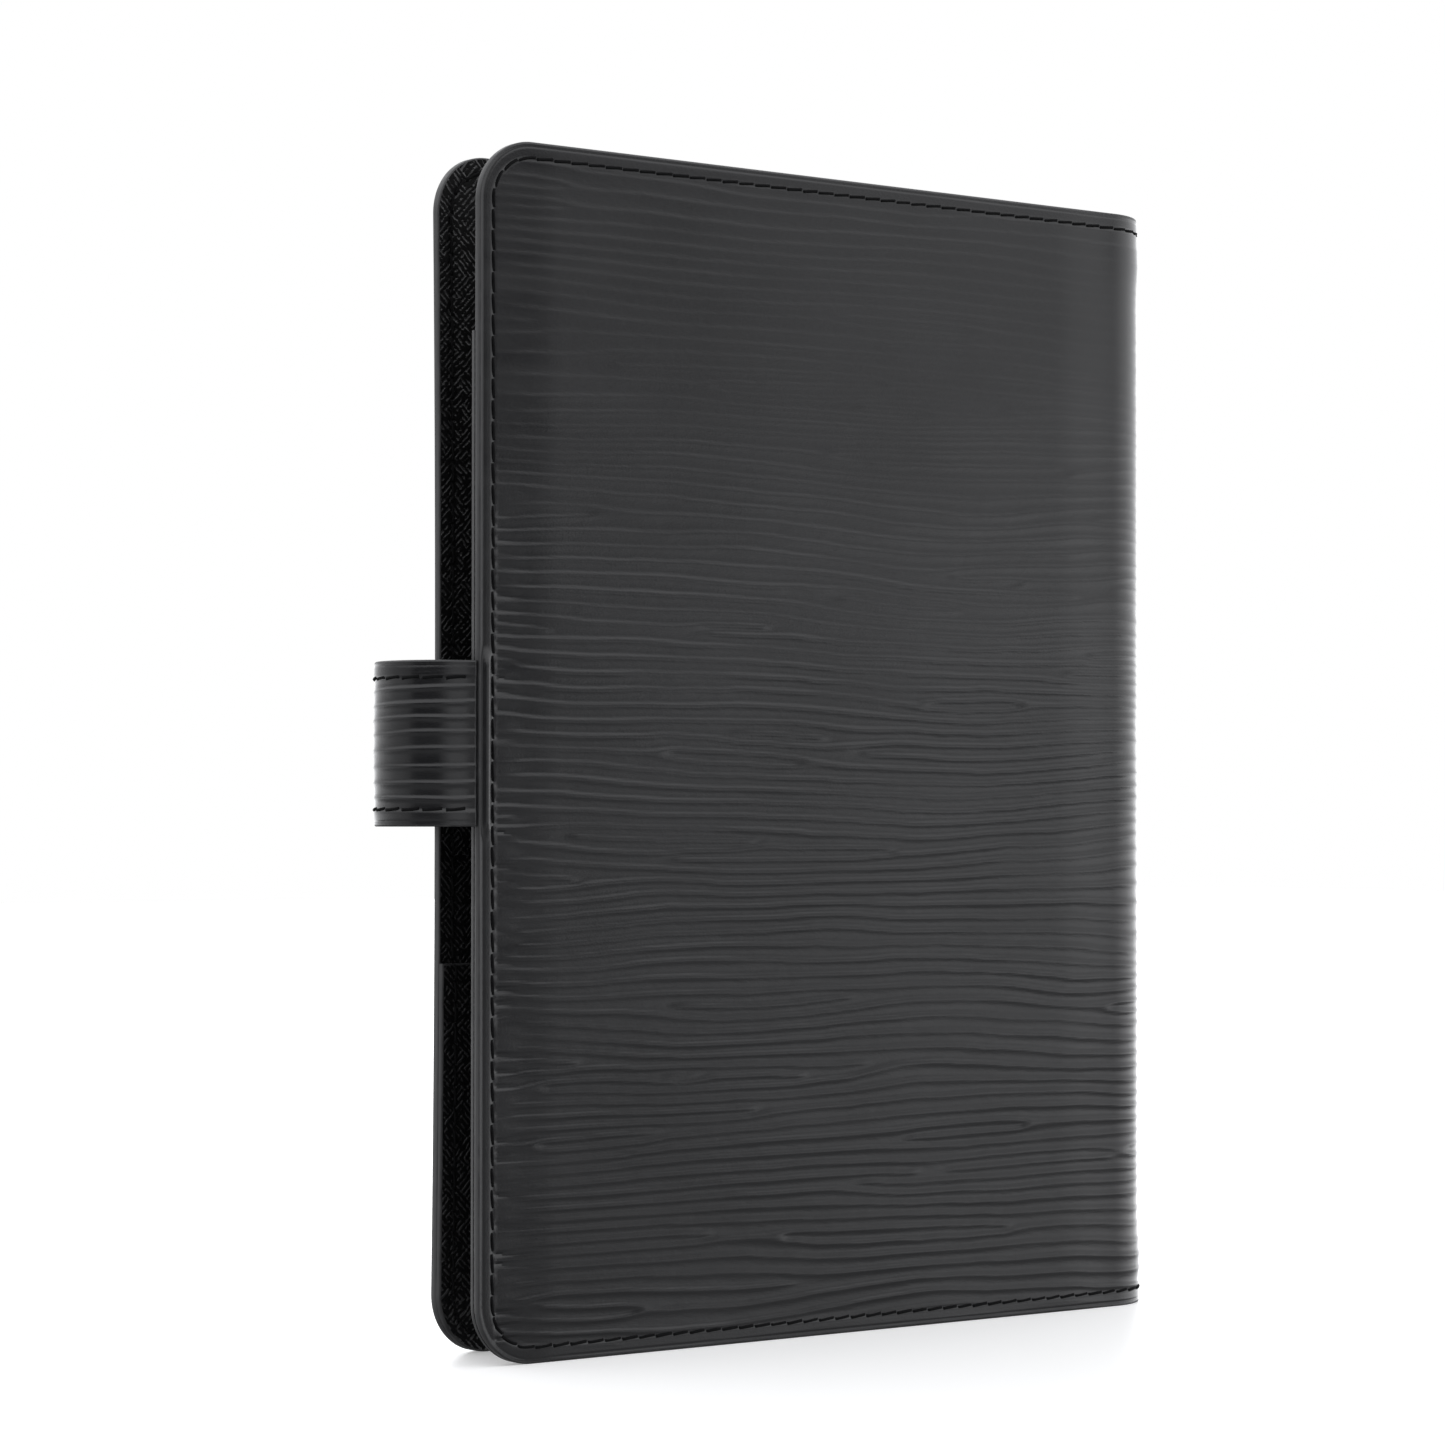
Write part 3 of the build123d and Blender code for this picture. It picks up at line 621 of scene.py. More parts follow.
def sheet(name, place, s, z, depths, relief, materials, corners, rounding, open_end=False, lift=None):
    """A closed piece of sheet leather.

    place(s, z, depth) gives positions; `depths` are those of the side that is seen and of the side
    that is hidden; relief(s, z) is the extra depth of the seen side, and lift(s, z) moves the hidden
    side towards it. `s` and `z` are the columns and rows, and `corners` the radii at the low and the
    high end of the free edge, which is at s[0]; open_end leaves the far end a plain cut. The seen
    side uses the first material and the painted edge the second.
    """
    face, back = depths
    way = 1 if back > face else -1
    rows, columns = len(z), len(s)
    corner = [max(c - rounding, 0) for c in corners]
    grid_s, grid_z = sheet_grid(s, z, corner, open_end, rounding)
    points, flat = [], []

    def put(at_s, at_z, depth):
        """Adds points and returns how many there were before them."""
        before = sum(len(p) for p in points)
        points.append(place(at_s, at_z, depth).reshape(-1, 3))
        flat.append(np.stack([at_s, at_z, 0 * at_z], axis=-1).reshape(-1, 3) * MM)
        return before

    def hidden_depth(at_s, at_z):
        raised = lift(at_s, at_z) if lift else 0.0
        return back - way * raised + 0 * at_s

    put(grid_s, grid_z, face + way * relief(grid_s, grid_z))
    grid = np.arange(rows * columns).reshape(rows, columns)
    seen = np.stack([grid[:-1, :-1], grid[:-1, 1:], grid[1:, 1:], grid[1:, :-1]], -1).reshape(-1, 4)

    rim = rim_of(rows, columns, open_end)
    rim_j, rim_i = np.array(rim).T
    out_s, out_z = rim_outwards(rim_j, rim_i, rows, columns, grid_z[:, 0], corner, open_end)
    rim_s, rim_z = grid_s[rim_j, rim_i], grid_z[rim_j, rim_i]
    rim_relief = relief(rim_s, rim_z)
    rim_hidden = hidden_depth(rim_s, rim_z)
    settled = rim_hidden - back
    rings = [grid[rim_j, rim_i]]
    for turn in EDGE_TURNS:
        out = rounding * math.sin(turn * math.pi / 2)
        down = rounding * (1 - math.cos(turn * math.pi / 2))
        depth = face + way * (down + rim_relief * (1 - turn)) + settled * turn
        rings.append(put(rim_s + out * out_s, rim_z + out * out_z, depth) + np.arange(len(rim)))
    first = put(rim_s + rounding * out_s, rim_z + rounding * out_z, rim_hidden)
    rings.append(first + np.arange(len(rim)))
    painted = rim_faces(rings, open_end)

    # the hidden side is a coarse grid that shares the rim's last ring
    keep_rows = sorted({*range(0, rows, max(1, rows // HIDDEN_ROWS)), rows - 1})
    keep_columns = coarse_columns(grid_s[rows // 2])
    index = {pair: rings[-1][k] for k, pair in enumerate(rim)}
    within = [(j, i) for j in keep_rows for i in keep_columns if (j, i) not in index]
    if within:
        j, i = np.array(within).T
        first = put(grid_s[j, i], grid_z[j, i], hidden_depth(grid_s[j, i], grid_z[j, i]))
        index.update({pair: first + k for k, pair in enumerate(within)})
    hidden = hidden_faces(index, keep_rows, keep_columns, open_end)
    if open_end:
        last = columns - 1
        end = [grid[j, last] for j in range(rows)]
        end += [ring[-1] for ring in rings[1:]]
        end += [index[j, last] for j in reversed(keep_rows[1:-1])]
        end += [ring[0] for ring in reversed(rings[1:])]
        hidden.append(end)

    faces = seen.tolist() + painted + hidden
    kinds = [0] * len(seen) + [1] * len(painted) + [0] * len(hidden)
    obj = make_object(name, np.concatenate(points), faces, kinds, materials, np.concatenate(flat))
    mark_sharp(obj, SHARP)
    return obj


def coarse_columns(s):
    """Which columns the hidden side keeps: few on flat leather, more where it bends."""
    keep = [0]
    for i in range(1, len(s)):
        bending = S_BACK - 1 < s[i] < S_FRONT + 1 or s[-1] < S_BACK / 2
        widest = BENT_COLUMN if bending else FLAT_COLUMN
        if s[i] - s[keep[-1]] > widest or i == len(s) - 1:
            keep.append(i)
    return keep


# ---------------------------------------------------------------- stitches
def stitch_faces(first):
    """The faces of one stitch whose points are numbered from `first`, side by side."""
    starts = [first + k * STITCH_RINGS for k in range(STITCH_SIDES)]
    faces = []
    for a, b in zip(starts, starts[1:] + starts[:1]):
        faces += [[a + r, b + r, b + r + 1, a + r + 1] for r in range(STITCH_RINGS - 1)]
    faces.append(starts)
    faces.append([a + STITCH_RINGS - 1 for a in reversed(starts)])
    return faces


def stitch_row(place, path_s, path_z, depth_of, outwards):
    """Points and faces of a row of single stitches along a path, each dipping at both ends."""
    path_s, path_z = np.array(path_s, float), np.array(path_z, float)
    run = np.concatenate([[0], np.cumsum(np.hypot(np.diff(path_s), np.diff(path_z)))])
    count = max(1, int(round(run[-1] / STITCH_PITCH)))
    pitch = run[-1] / count
    t = np.linspace(-1, 1, STITCH_RINGS)
    points, faces = [], []
    rng = np.random.default_rng(int(run[-1] * 10) + 7)
    for n in range(count):
        middle = (n + 0.5) * pitch
        length = STITCH_LENGTH * rng.uniform(0.94, 1.04)
        along = middle + t * length / 2
        s = np.interp(along, run, path_s)
        z = np.interp(along, run, path_z)
        heading = np.array([s[-1] - s[0], z[-1] - z[0]])
        heading /= np.linalg.norm(heading)
        slant = STITCH_SLANT * t * rng.uniform(0.7, 1.2)
        s = s - heading[1] * slant
        z = z + heading[0] * slant
        lift = THREAD_RADIUS * (0.55 - 1.6 * np.abs(t) ** 3.6)
        thick = THREAD_RADIUS * (0.85 + 0.65 * np.abs(t) ** 5) * rng.uniform(0.9, 1.1)
        bed = depth_of(s, z)
        for k in range(STITCH_SIDES):
            angle = 2 * np.pi * k / STITCH_SIDES
            side = thick * math.cos(angle)
            up = lift + thick * math.sin(angle)
            points.append(place(s - heading[1] * side, z + heading[0] * side, bed - outwards * up))
        faces += stitch_faces(n * STITCH_RINGS * STITCH_SIDES)
    return np.concatenate(points), faces


def stitches(name, place, paths, depth_of, outwards):
    """One object of stitch rows along several paths, with their beds at depth_of(s, z).

    `outwards` is 1 for thread that lies outside its bed and -1 for thread on the inside.
    """
    points, faces, offset = [], [], 0
    for path_s, path_z in paths:
        more, some = stitch_row(place, path_s, path_z, depth_of, outwards)
        points.append(more)
        faces += [[v + offset for v in f] for f in some]
        offset += len(more)
    return make_object(name, np.concatenate(points), faces, [0] * len(faces), [THREAD_LOOK])


def seam_path(end, low, high, inset, corner):
    """A seam that runs from `end` along the low edge, up the free edge at s = 0, and back."""
    turn = corner - inset
    angles = np.linspace(0, np.pi / 2, CORNER_POINTS)
    s = [end]
    z = [low + inset]
    s += [corner - turn * math.sin(a) for a in angles]
    z += [low + corner - turn * math.cos(a) for a in angles]
    s += [corner - turn * math.cos(a) for a in angles]
    z += [high - corner + turn * math.sin(a) for a in angles]
    return s + [end], z + [high - inset]


# ---------------------------------------------------------------- materials
def new_material(name, inputs=None):
    """A node material, its tree and its principled shader with some inputs set."""
    material = bpy.data.materials.new(name)
    material.use_nodes = True
    shader = material.node_tree.nodes["Principled BSDF"]
    for key, value in (inputs or {}).items():
        shader.inputs[key].default_value = value
    return material, material.node_tree, shader


def add_node(tree, kind, inputs=None, **settings):
    """A shader node with its settings and unlinked inputs set."""
    node = tree.nodes.new(kind)
    for key, value in settings.items():
        setattr(node, key, value)
    for key, value in (inputs or {}).items():
        node.inputs[key].default_value = value
    return node


def ramp(tree, source, low, high, low_value, high_value, step="LINEAR"):
    """Two values and a step between them, as a socket's value passes two limits."""
    node = add_node(tree, "ShaderNodeMapRange", {1: low, 2: high, 3: low_value, 4: high_value})
    node.interpolation_type = step
    tree.links.new(source, node.inputs[0])
    return node.outputs[0]


def textured(tree, kind, scale, stretch=(1, 1, 1), on_leather=False, turn=0.0, **inputs):
    """A procedural texture's value; stretch multiplies its scale along each axis.

    It is placed in the row frame, or on the flat leather (s, z), turned by an angle there.
    """
    if on_leather:
        where = add_node(tree, "ShaderNodeAttribute", attribute_name=FLAT_PLACE).outputs["Vector"]
        turned = add_node(tree, "ShaderNodeMapping", {"Rotation": (0, 0, turn)})
        tree.links.new(where, turned.inputs["Vector"])
        where = turned.outputs["Vector"]
    else:
        where = add_node(tree, "ShaderNodeTexCoord").outputs["Object"]
    mapping = add_node(tree, "ShaderNodeMapping", {"Scale": [scale * k for k in stretch]})
    tree.links.new(where, mapping.inputs["Vector"])
    texture = add_node(tree, kind, {"Scale": 1.0, **{k.replace("_", " "): v for k, v in inputs.items()}})
    tree.links.new(mapping.outputs["Vector"], texture.inputs["Vector"])
    return texture.outputs["Distance" if kind == "ShaderNodeTexVoronoi" else "Fac"]


def mix_colour(tree, factor, low, high):
    """A colour between two, by a factor socket."""
    node = add_node(tree, "ShaderNodeMix", data_type="RGBA")
    node.inputs["A"].default_value = (*low, 1)
    node.inputs["B"].default_value = (*high, 1)
    tree.links.new(factor, node.inputs["Factor"])
    return node.outputs["Result"]


def product(tree, first, second):
    """Two sockets multiplied, or a socket and a number."""
    node = add_node(tree, "ShaderNodeMath", operation="MULTIPLY")
    tree.links.new(first, node.inputs[0])
    if isinstance(second, float):
        node.inputs[1].default_value = second
    else:
        tree.links.new(second, node.inputs[1])
    return node.outputs[0]


def bump(tree, heights, shader):
    """Chains (height socket, distance in metres, strength) bumps into the shader's normal."""
    normal = None
    for height, distance, strength in heights:
        node = add_node(tree, "ShaderNodeBump", {"Distance": distance, "Strength": strength})
        tree.links.new(height, node.inputs["Height"])
        if normal is not None:
            tree.links.new(normal, node.inputs["Normal"])
        normal = node.outputs["Normal"]
    tree.links.new(normal, shader.inputs["Normal"])


def outside_leather():
    """Black embossed leather with a satin finish, fine pores and slightly uneven dye."""
    material, tree, shader = new_material("outside_leather", {"Specular IOR Level": 0.44})
    cloud = textured(tree, "ShaderNodeTexNoise", 38, on_leather=True, Detail=4.0)
    streak = textured(tree, "ShaderNodeTexNoise", 260, (0.12, 1, 1), on_leather=True, Detail=3.0)
    pores = textured(tree, "ShaderNodeTexVoronoi", 3200, on_leather=True)
    creases = textured(tree, "ShaderNodeTexNoise", 1500, (0.3, 1, 1), on_leather=True, Detail=5.0)
    dye = ramp(tree, cloud, 0.3, 0.7, 0, 1)
    colour = mix_colour(tree, dye, (0.0050, 0.0050, 0.0056), (0.0080, 0.0080, 0.0088))
    tree.links.new(colour, shader.inputs["Base Color"])
    tree.links.new(ramp(tree, streak, 0.3, 0.7, 0.18, 0.27), shader.inputs["Roughness"])
    heights = [(creases, 0.00005, 0.3), (pores, 0.00003, 0.2)]
    bump(tree, heights, shader)
    return material


def edge_paint():
    """Satin grey-black edge paint over the stacked layers, slightly rubbed."""
    material, tree, shader = new_material("edge_paint")
    rub = textured(tree, "ShaderNodeTexNoise", 420, Detail=4.0)
    layers = textured(tree, "ShaderNodeTexNoise", 900, stretch=(2.2, 2.2, 0.05), Detail=2.0)
    worn = ramp(tree, rub, 0.35, 0.72, 0, 1)
    colour = mix_colour(tree, worn, (0.010, 0.010, 0.011), (0.021, 0.021, 0.022))
    tree.links.new(colour, shader.inputs["Base Color"])
    tree.links.new(ramp(tree, rub, 0.3, 0.7, 0.4, 0.55), shader.inputs["Roughness"])
    bump(tree, [(layers, 0.0002, 0.35), (rub, 0.00008, 0.4)], shader)
    return material


def lining_leather():
    """Black lining leather with a grain of short ridges that cross at right angles, in patches."""
    material, tree, shader = new_material("lining_leather")
    cloud = textured(tree, "ShaderNodeTexNoise", 60, on_leather=True, Detail=3.0)
    patch = textured(tree, "ShaderNodeTexNoise", 240, on_leather=True, Detail=1.0)
    quarter = math.radians(45)
    uneven = {"on_leather": True, "Distortion": 2.2, "Detail": 3.0}
    first = textured(tree, "ShaderNodeTexWave", HATCH, turn=quarter, **uneven)
    second = textured(tree, "ShaderNodeTexWave", HATCH, turn=-quarter, **uneven)
    dash = textured(tree, "ShaderNodeTexNoise", 900, on_leather=True, Detail=2.0)
    pick = add_node(tree, "ShaderNodeMix", data_type="FLOAT")
    tree.links.new(ramp(tree, patch, 0.46, 0.54, 0.12, 0.88), pick.inputs["Factor"])
    tree.links.new(first, pick.inputs["A"])
    tree.links.new(second, pick.inputs["B"])
    broken = product(tree, pick.outputs["Result"], ramp(tree, dash, 0.38, 0.58, 0.25, 1.3))
    ridge = ramp(tree, broken, 0.36, 1.0, 0, 1)
    # colour lighter on the ridges and darker in the grooves between them, unevenly across patches
    ridge_tone = product(tree, ridge, ramp(tree, cloud, 0.3, 0.7, 0.5, 1))
    colour = mix_colour(tree, ridge_tone, (0.0022, 0.0022, 0.0024), (0.021, 0.021, 0.022))
    tree.links.new(colour, shader.inputs["Base Color"])
    tree.links.new(ramp(tree, ridge, 0, 1, 0.75, 0.33), shader.inputs["Roughness"])
    tree.links.new(ramp(tree, ridge, 0, 0.8, 0.12, 0.5), shader.inputs["Specular IOR Level"])
    bump(tree, [(ridge, 0.00025, 0.9)], shader)
    return material


def thread_material():
    """Black waxed thread with a twist."""
    material, tree, shader = new_material("thread", {"Roughness": 0.85, "Specular IOR Level": 0.1})
    twist = textured(tree, "ShaderNodeTexWave", 2600, Distortion=1.0)
    colour = mix_colour(tree, twist, (0.0015, 0.0015, 0.0017), (0.005, 0.005, 0.0055))
    tree.links.new(colour, shader.inputs["Base Color"])
    bump(tree, [(twist, 0.00006, 0.7)], shader)
    return material


def metal(name, colour, roughness):
    """Polished metal with fine rubbing marks."""
    material, tree, shader = new_material(name, {"Metallic": 1.0})
    rub = textured(tree, "ShaderNodeTexNoise", 900, stretch=(1, 1, 0.15), Detail=6.0)
    spots = textured(tree, "ShaderNodeTexNoise", 140, Detail=3.0)
    darker = tuple(0.86 * k for k in colour)
    tone = ramp(tree, spots, 0.35, 0.65, 0, 1)
    tree.links.new(mix_colour(tree, tone, darker, colour), shader.inputs["Base Color"])
    rough = ramp(tree, rub, 0.3, 0.7, 0.7 * roughness, 1.4 * roughness)
    tree.links.new(rough, shader.inputs["Roughness"])
    bump(tree, [(rub, 0.00001, 0.2)], shader)
    return material


def board_material():
    """Grey-brown pressed fibre board."""
    material, tree, shader = new_material("board", {"Roughness": 0.9})
    fibre = textured(tree, "ShaderNodeTexNoise", 900, stretch=(1, 1, 0.3), Detail=6.0)
    colour = mix_colour(tree, fibre, (0.20, 0.16, 0.12), (0.34, 0.28, 0.21))
    tree.links.new(colour, shader.inputs["Base Color"])
    bump(tree, [(fibre, 0.0001, 0.5)], shader)
    return material


LEATHER_LOOK = outside_leather()
EDGE_LOOK = edge_paint()
LINING_LOOK = lining_leather()
THREAD_LOOK = thread_material()
BRASS_LOOK = metal("snap_metal", (0.80, 0.62, 0.33), 0.2)
CHROME_LOOK = metal("ring_metal", (0.78, 0.78, 0.80), 0.14)
BOARD_LOOK = board_material()


# ---------------------------------------------------------------- covers
def fold_ends(name):
    """Where a spine fold's bend starts on its cover and ends on the spine, as row-frame points.

    The bend ends before the ring mechanism's blades, so that the leather under them follows the spine.
    """
    if name == "spine_back_fold":
        ends = (S_BACK - BEND_REACH, S_BACK + BEND_SHARE * BEND_BACK_LENGTH)
    else:
        ends = (S_FRONT + BEND_REACH, S_FRONT - BEND_SHARE * BEND_FRONT_LENGTH)
    places = [cover_xy(np.array(s), 0.0) for s in ends]
    return [tuple(place_points(np.array(x), np.array(y), np.array(0.0))) for x, y in places]


def name_piece(obj, slot_name, nodes=()):
    """Hides the CAD nodes that the piece is seen in place of; the material slot is not used."""
    if nodes:
        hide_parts(*nodes)


def add_cover_half(obj, cover, slot_name, nodes=()):
    """Bakes a piece between a cover and the spine into place and hides the CAD nodes it stands in for; the fold's
    ends are worked out but not used.
    """
    fold = "spine_back_fold" if cover == "back_cover" else "spine_front_fold"
    start, end = fold_ends(fold)
    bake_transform(obj)
    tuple(start)
    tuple(end)
    name_piece(obj, slot_name, nodes)


def ride_cover(obj, side, slot_name, nodes=()):
    """A piece that moves with one cover."""
    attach(obj, f"{side}_cover")
    name_piece(obj, slot_name, nodes)


def grid_step(step):
    """A mesh's grid step."""
    return step * 1.0


def along_cover(side, s):
    """s along the whole cover, from a distance to one side's own fore-edge."""
    return s if side == "back" else S_END - s


def place_on(side):
    """The placing function of one side, with s from that side's own fore-edge."""

    def place(s, z, depth):
        return cover_place(along_cover(side, s), z, depth)

    return place


def cover_columns(length, seam_part, fine, wide):
    """Columns of a cover's skin: close together along the seam, wider over the rest."""
    near_seam = steps(0, seam_part, grid_step(fine), grid_step(fine), 0, 0)
    open_part = steps(seam_part, length, grid_step(wide), grid_step(wide), 0, 0)
    return np.concatenate([near_seam, open_part[1:]])


def build_cover(side):
    """One half of the outside leather and of the lining; they end at the middle of the spine."""
    length = abs(S_MIDDLE - along_cover(side, 0.0))
    place = place_on(side)

    def side_relief(s, z):
        return cover_relief(along_cover(side, s), z)

    columns = cover_columns(length, 7, 0.24, 0.98)
    z = height_rows(0, HEIGHT, CORNER, CORNER, grid_step(0.37), grid_step(0.3))
    corners = (CORNER, CORNER)
    looks = [LEATHER_LOOK, EDGE_LOOK]
    name = f"{side}_leather_skin"
    depths = (0.0, LEATHER)
    outside = sheet(name, place, columns, z, depths, side_relief, looks, corners, EDGE_ROUND, open_end=True)

    columns = cover_columns(length, 6, 0.4, 1.0)
    z = height_rows(0, HEIGHT, CORNER, CORNER, grid_step(0.8), grid_step(0.6))
    looks = [LINING_LOOK, EDGE_LOOK]
    name = f"{side}_lining_skin"
    depths = (COVER, LEATHER)
    relief = inside_cover_relief
    lining = sheet(name, place, columns, z, depths, relief, looks, corners, THIN_ROUND, open_end=True)

    skins = ((outside, "leather", "outside_leather"), (lining, "lining", "lining_leather"))
    for obj, layer, slot_name in skins:
        nodes = [f"{side}_cover_{layer}"] + ([f"spine_{layer}"] if side == "back" else [])
        add_cover_half(obj, f"{side}_cover", slot_name, nodes)


def build_board(side, run):
    """The stiff board behind one cover's leather."""
    z = height_rows(BOARD_INSET, HEIGHT - BOARD_INSET, BOARD_CORNER, BOARD_CORNER, 4, 1)
    columns = steps(BOARD_INSET, run - BOARD_INSET, 4, 1, 6, 0)
    corners = (BOARD_CORNER, BOARD_CORNER)
    name = f"{side}_board_skin"
    place = place_on(side)
    looks = [BOARD_LOOK, BOARD_LOOK]
    depths = (BOARD_DEPTH, LEATHER)
    obj = sheet(name, place, columns, z, depths, board_relief, looks, corners, BOARD_ROUND)
    ride_cover(obj, side, "board", [f"{side}_cover_board"])


def pocket_top(side):
    """The height of a pocket's opening."""
    return box_mm(f"{side}_pocket")[1][2]


def build_pocket(side, rise):
    """One cover's inside pocket, sewn round three edges and open at the top."""
    top = pocket_top(side)
    z = height_rows(0, top, CORNER, 0, grid_step(0.9), grid_step(0.5))
    columns = steps(0, POCKET_END, grid_step(1.0), grid_step(0.4), 12, 12)

    def hollow(s, z_here):
        inside = np.minimum(from_edge(s, z_here, 0, 2 * HEIGHT, CORNER, 0), POCKET_END - s)
        return rise(s, z_here) + POCKET_HOLLOW * smooth(3.6, 5.0, inside)

    name = f"{side}_pocket_skin"
    place = place_on(side)
    depths = (COVER + POCKET, COVER)
    relief = pocket_relief(top, rise)
    looks = [LINING_LOOK, EDGE_LOOK]
    obj = sheet(name, place, columns, z, depths, relief, looks, (CORNER, 0), POCKET_ROUND, lift=hollow)
    ride_cover(obj, side, "lining_leather", [f"{side}_pocket"])


def card_depth(s, z):
    """The depth of the card slots' faces, which step back above each opening."""
    tops = [box_mm(node)[1][2] for node in CARD_SLOTS]
    return COVER + CARD_PANEL * sum(1.0 * (z < top) for top in tops) + 0 * s


def build_card_slots():
    """Three card slots on the front cover's lining, each in front of the one above it."""
    place = place_on("front")
    looks = [LINING_LOOK, EDGE_LOOK]
    seams = []
    for number, node in enumerate(CARD_SLOTS):
        low, high = box_mm(node)
        columns = steps(CARD_START, CARD_END, grid_step(1.2), grid_step(0.5), 4, 4)
        z = height_rows(low[2], high[2], 0, 0, grid_step(1.0), grid_step(0.35))
        depth = COVER + CARD_PANEL * number
        depths = (depth + CARD_PANEL, depth)
        relief = card_relief(high[2])
        obj = sheet(f"{node}_skin", place, columns, z, depths, relief, looks, (0, 0), CARD_ROUND)
        ride_cover(obj, "front", "lining_leather", [node])
        last = number + 1 == len(CARD_SLOTS)
        below = pocket_top("front") if last else box_mm(CARD_SLOTS[number + 1])[1][2]
        for s in (CARD_START + CARD_SEAM, CARD_END - CARD_SEAM):
            seams.append(([s, s], [below + 0.4, high[2] - 0.4]))
    obj = stitches("card_slot_stitches", place, seams, card_depth, -1)
    ride_cover(obj, "front", "thread")


def build_cover_stitches(side, rise):
    """One half of the seam round the cover: outside on the leather, inside on the lining and pocket."""
    top = pocket_top(side)
    length = abs(S_MIDDLE - along_cover(side, 0.0))
    path = seam_path(length, 0, HEIGHT, SEAM_INSET, CORNER)

    def outside_depth(s, z):
        return cover_relief(along_cover(side, s), z)

    outside = stitches(f"{side}_seam_stitches", place_on(side), [path], outside_depth, 1)
    nodes = [f"{side}_cover_thread"] + (["spine_thread"] if side == "back" else [])
    add_cover_half(outside, f"{side}_cover", "thread", nodes)

    def inside_depth(s, z):
        on_pocket = (z < top) & (s < POCKET_END)
        return COVER + POCKET * on_pocket - STITCH_GROOVE + rise(s, z) * on_pocket

    inside = stitches(f"{side}_inside_stitches", place_on(side), [path], inside_depth, -1)
    add_cover_half(inside, f"{side}_cover", "thread")
    end_seam = POCKET_END - SEAM_INSET
    rows = [([end_seam, end_seam], [SEAM_INSET + STITCH_PITCH, top - 1])]
    pocket_seam = stitches(f"{side}_pocket_stitches", place_on(side), rows, inside_depth, -1)
    ride_cover(pocket_seam, side, "thread")


def no_rise(s, z):
    """The back cover's pocket lies flat."""
    return 0 * s


def build_covers():
    """Both covers with their boards, linings, pockets and seams."""
    for side, run, rise in (("back", S_BACK, no_rise), ("front", FRONT_RUN, pocket_rise)):
        build_cover(side)
        build_board(side, run)
        build_pocket(side, rise)
        build_cover_stitches(side, rise)
    build_card_slots()


# ---------------------------------------------------------------- strap
def place_on_root(s, z, depth):
    """Places points of the strap's root, with s from where it meets the back cover."""
    return strap_place(loop_length() - s, z, depth)


def root_relief(s, z):
    """The relief of the strap's root; its end lies under the cover's edge."""
    return strap_relief(loop_length() - s, z)


def strap_lining_relief(s, z):
    """The strap's lining, drawn in along both rows of stitches."""
    distance = np.minimum(z - STRAP_LOW[2], STRAP_HIGH[2] - z)
    return 0.5 * lining_relief(s + 90, z) + groove(distance, STRAP_SEAM_INSET, 0.4, 0.08)


def strap_inside_depth(s, z):
    """The strap's inside stitches lie on its lining."""
    return STRAP - STITCH_GROOVE / 2 + 0 * s


def build_strap_part(part, angles, nodes):
    """The strap's tip or its root, from the middle of its loop, with its lining and stitches; its fold is worked
    out but not used.
    """
    low, high = STRAP_LOW[2], STRAP_HIGH[2]
    middle = FLAP + LOOP_RADIUS * (math.pi / 2 - TURNED)
    tip = part == "tip"
    place, relief = (strap_place, strap_relief) if tip else (place_on_root, root_relief)
    length = middle if tip else loop_length() - middle
    corners = (STRAP_CORNER, STRAP_CORNER) if tip else (0, 0)
    z = height_rows(low, high, *corners, grid_step(0.22), grid_step(0.2))
    columns = steps(0, length, grid_step(0.4), grid_step(0.3), 3, 0)
    looks = [LEATHER_LOOK, EDGE_LOOK]
    depths = (0.0, STRAP_LEATHER)
    name = f"strap_{part}_skin"
    outside = sheet(name, place, columns, z, depths, relief, looks, corners, STRAP_ROUND, open_end=True)
    name = f"strap_{part}_lining_skin"
    looks = [LINING_LOOK, EDGE_LOOK]
    depths = (STRAP, STRAP_LEATHER)
    relief = strap_lining_relief
    lining = sheet(name, place, columns, z, depths, relief, looks, corners, STRAP_LINING_ROUND, open_end=True)
    seams = [seam_path(middle, low, high, STRAP_SEAM_INSET, STRAP_CORNER)]
    if not tip:
        edges = (low + STRAP_SEAM_INSET, high - STRAP_SEAM_INSET)
        seams = [([middle, loop_length() - ROOT_SEAM_END], [edge, edge]) for edge in edges]
    outer = stitches(f"strap_{part}_stitches", strap_place, seams, strap_relief, 1)
    inner = stitches(f"strap_{part}_inside_stitches", strap_place, seams, strap_inside_depth, -1)
    fold = [on_circle(LOOP_CENTRE, LOOP_RADIUS, math.radians(a)) for a in angles]
    start, end = [tuple(place_points(np.array(x), np.array(y), np.array(0.0))) for x, y in fold]
    slots = ("outside_leather", "lining_leather", "thread", "thread")
    for obj, some_nodes, slot_name in zip((outside, lining, outer, inner), nodes, slots):
        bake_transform(obj)
        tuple(start)
        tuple(end)
        name_piece(obj, slot_name, some_nodes)


def build_strap():
    """The strap in two pieces that meet at the middle of its loop."""
    tip_nodes = (["strap_tip_leather"], ["strap_tip_lining"], ["strap_tip_thread"], [])
    build_strap_part("tip", TIP_BEND, tip_nodes)
    root_nodes = (
        ["strap_root_leather", "strap_side_leather"],
        ["strap_root_lining", "strap_side_lining"],
        ["strap_root_thread", "strap_side_thread"],
        [],
    )
    build_strap_part("root", ROOT_BEND, root_nodes)


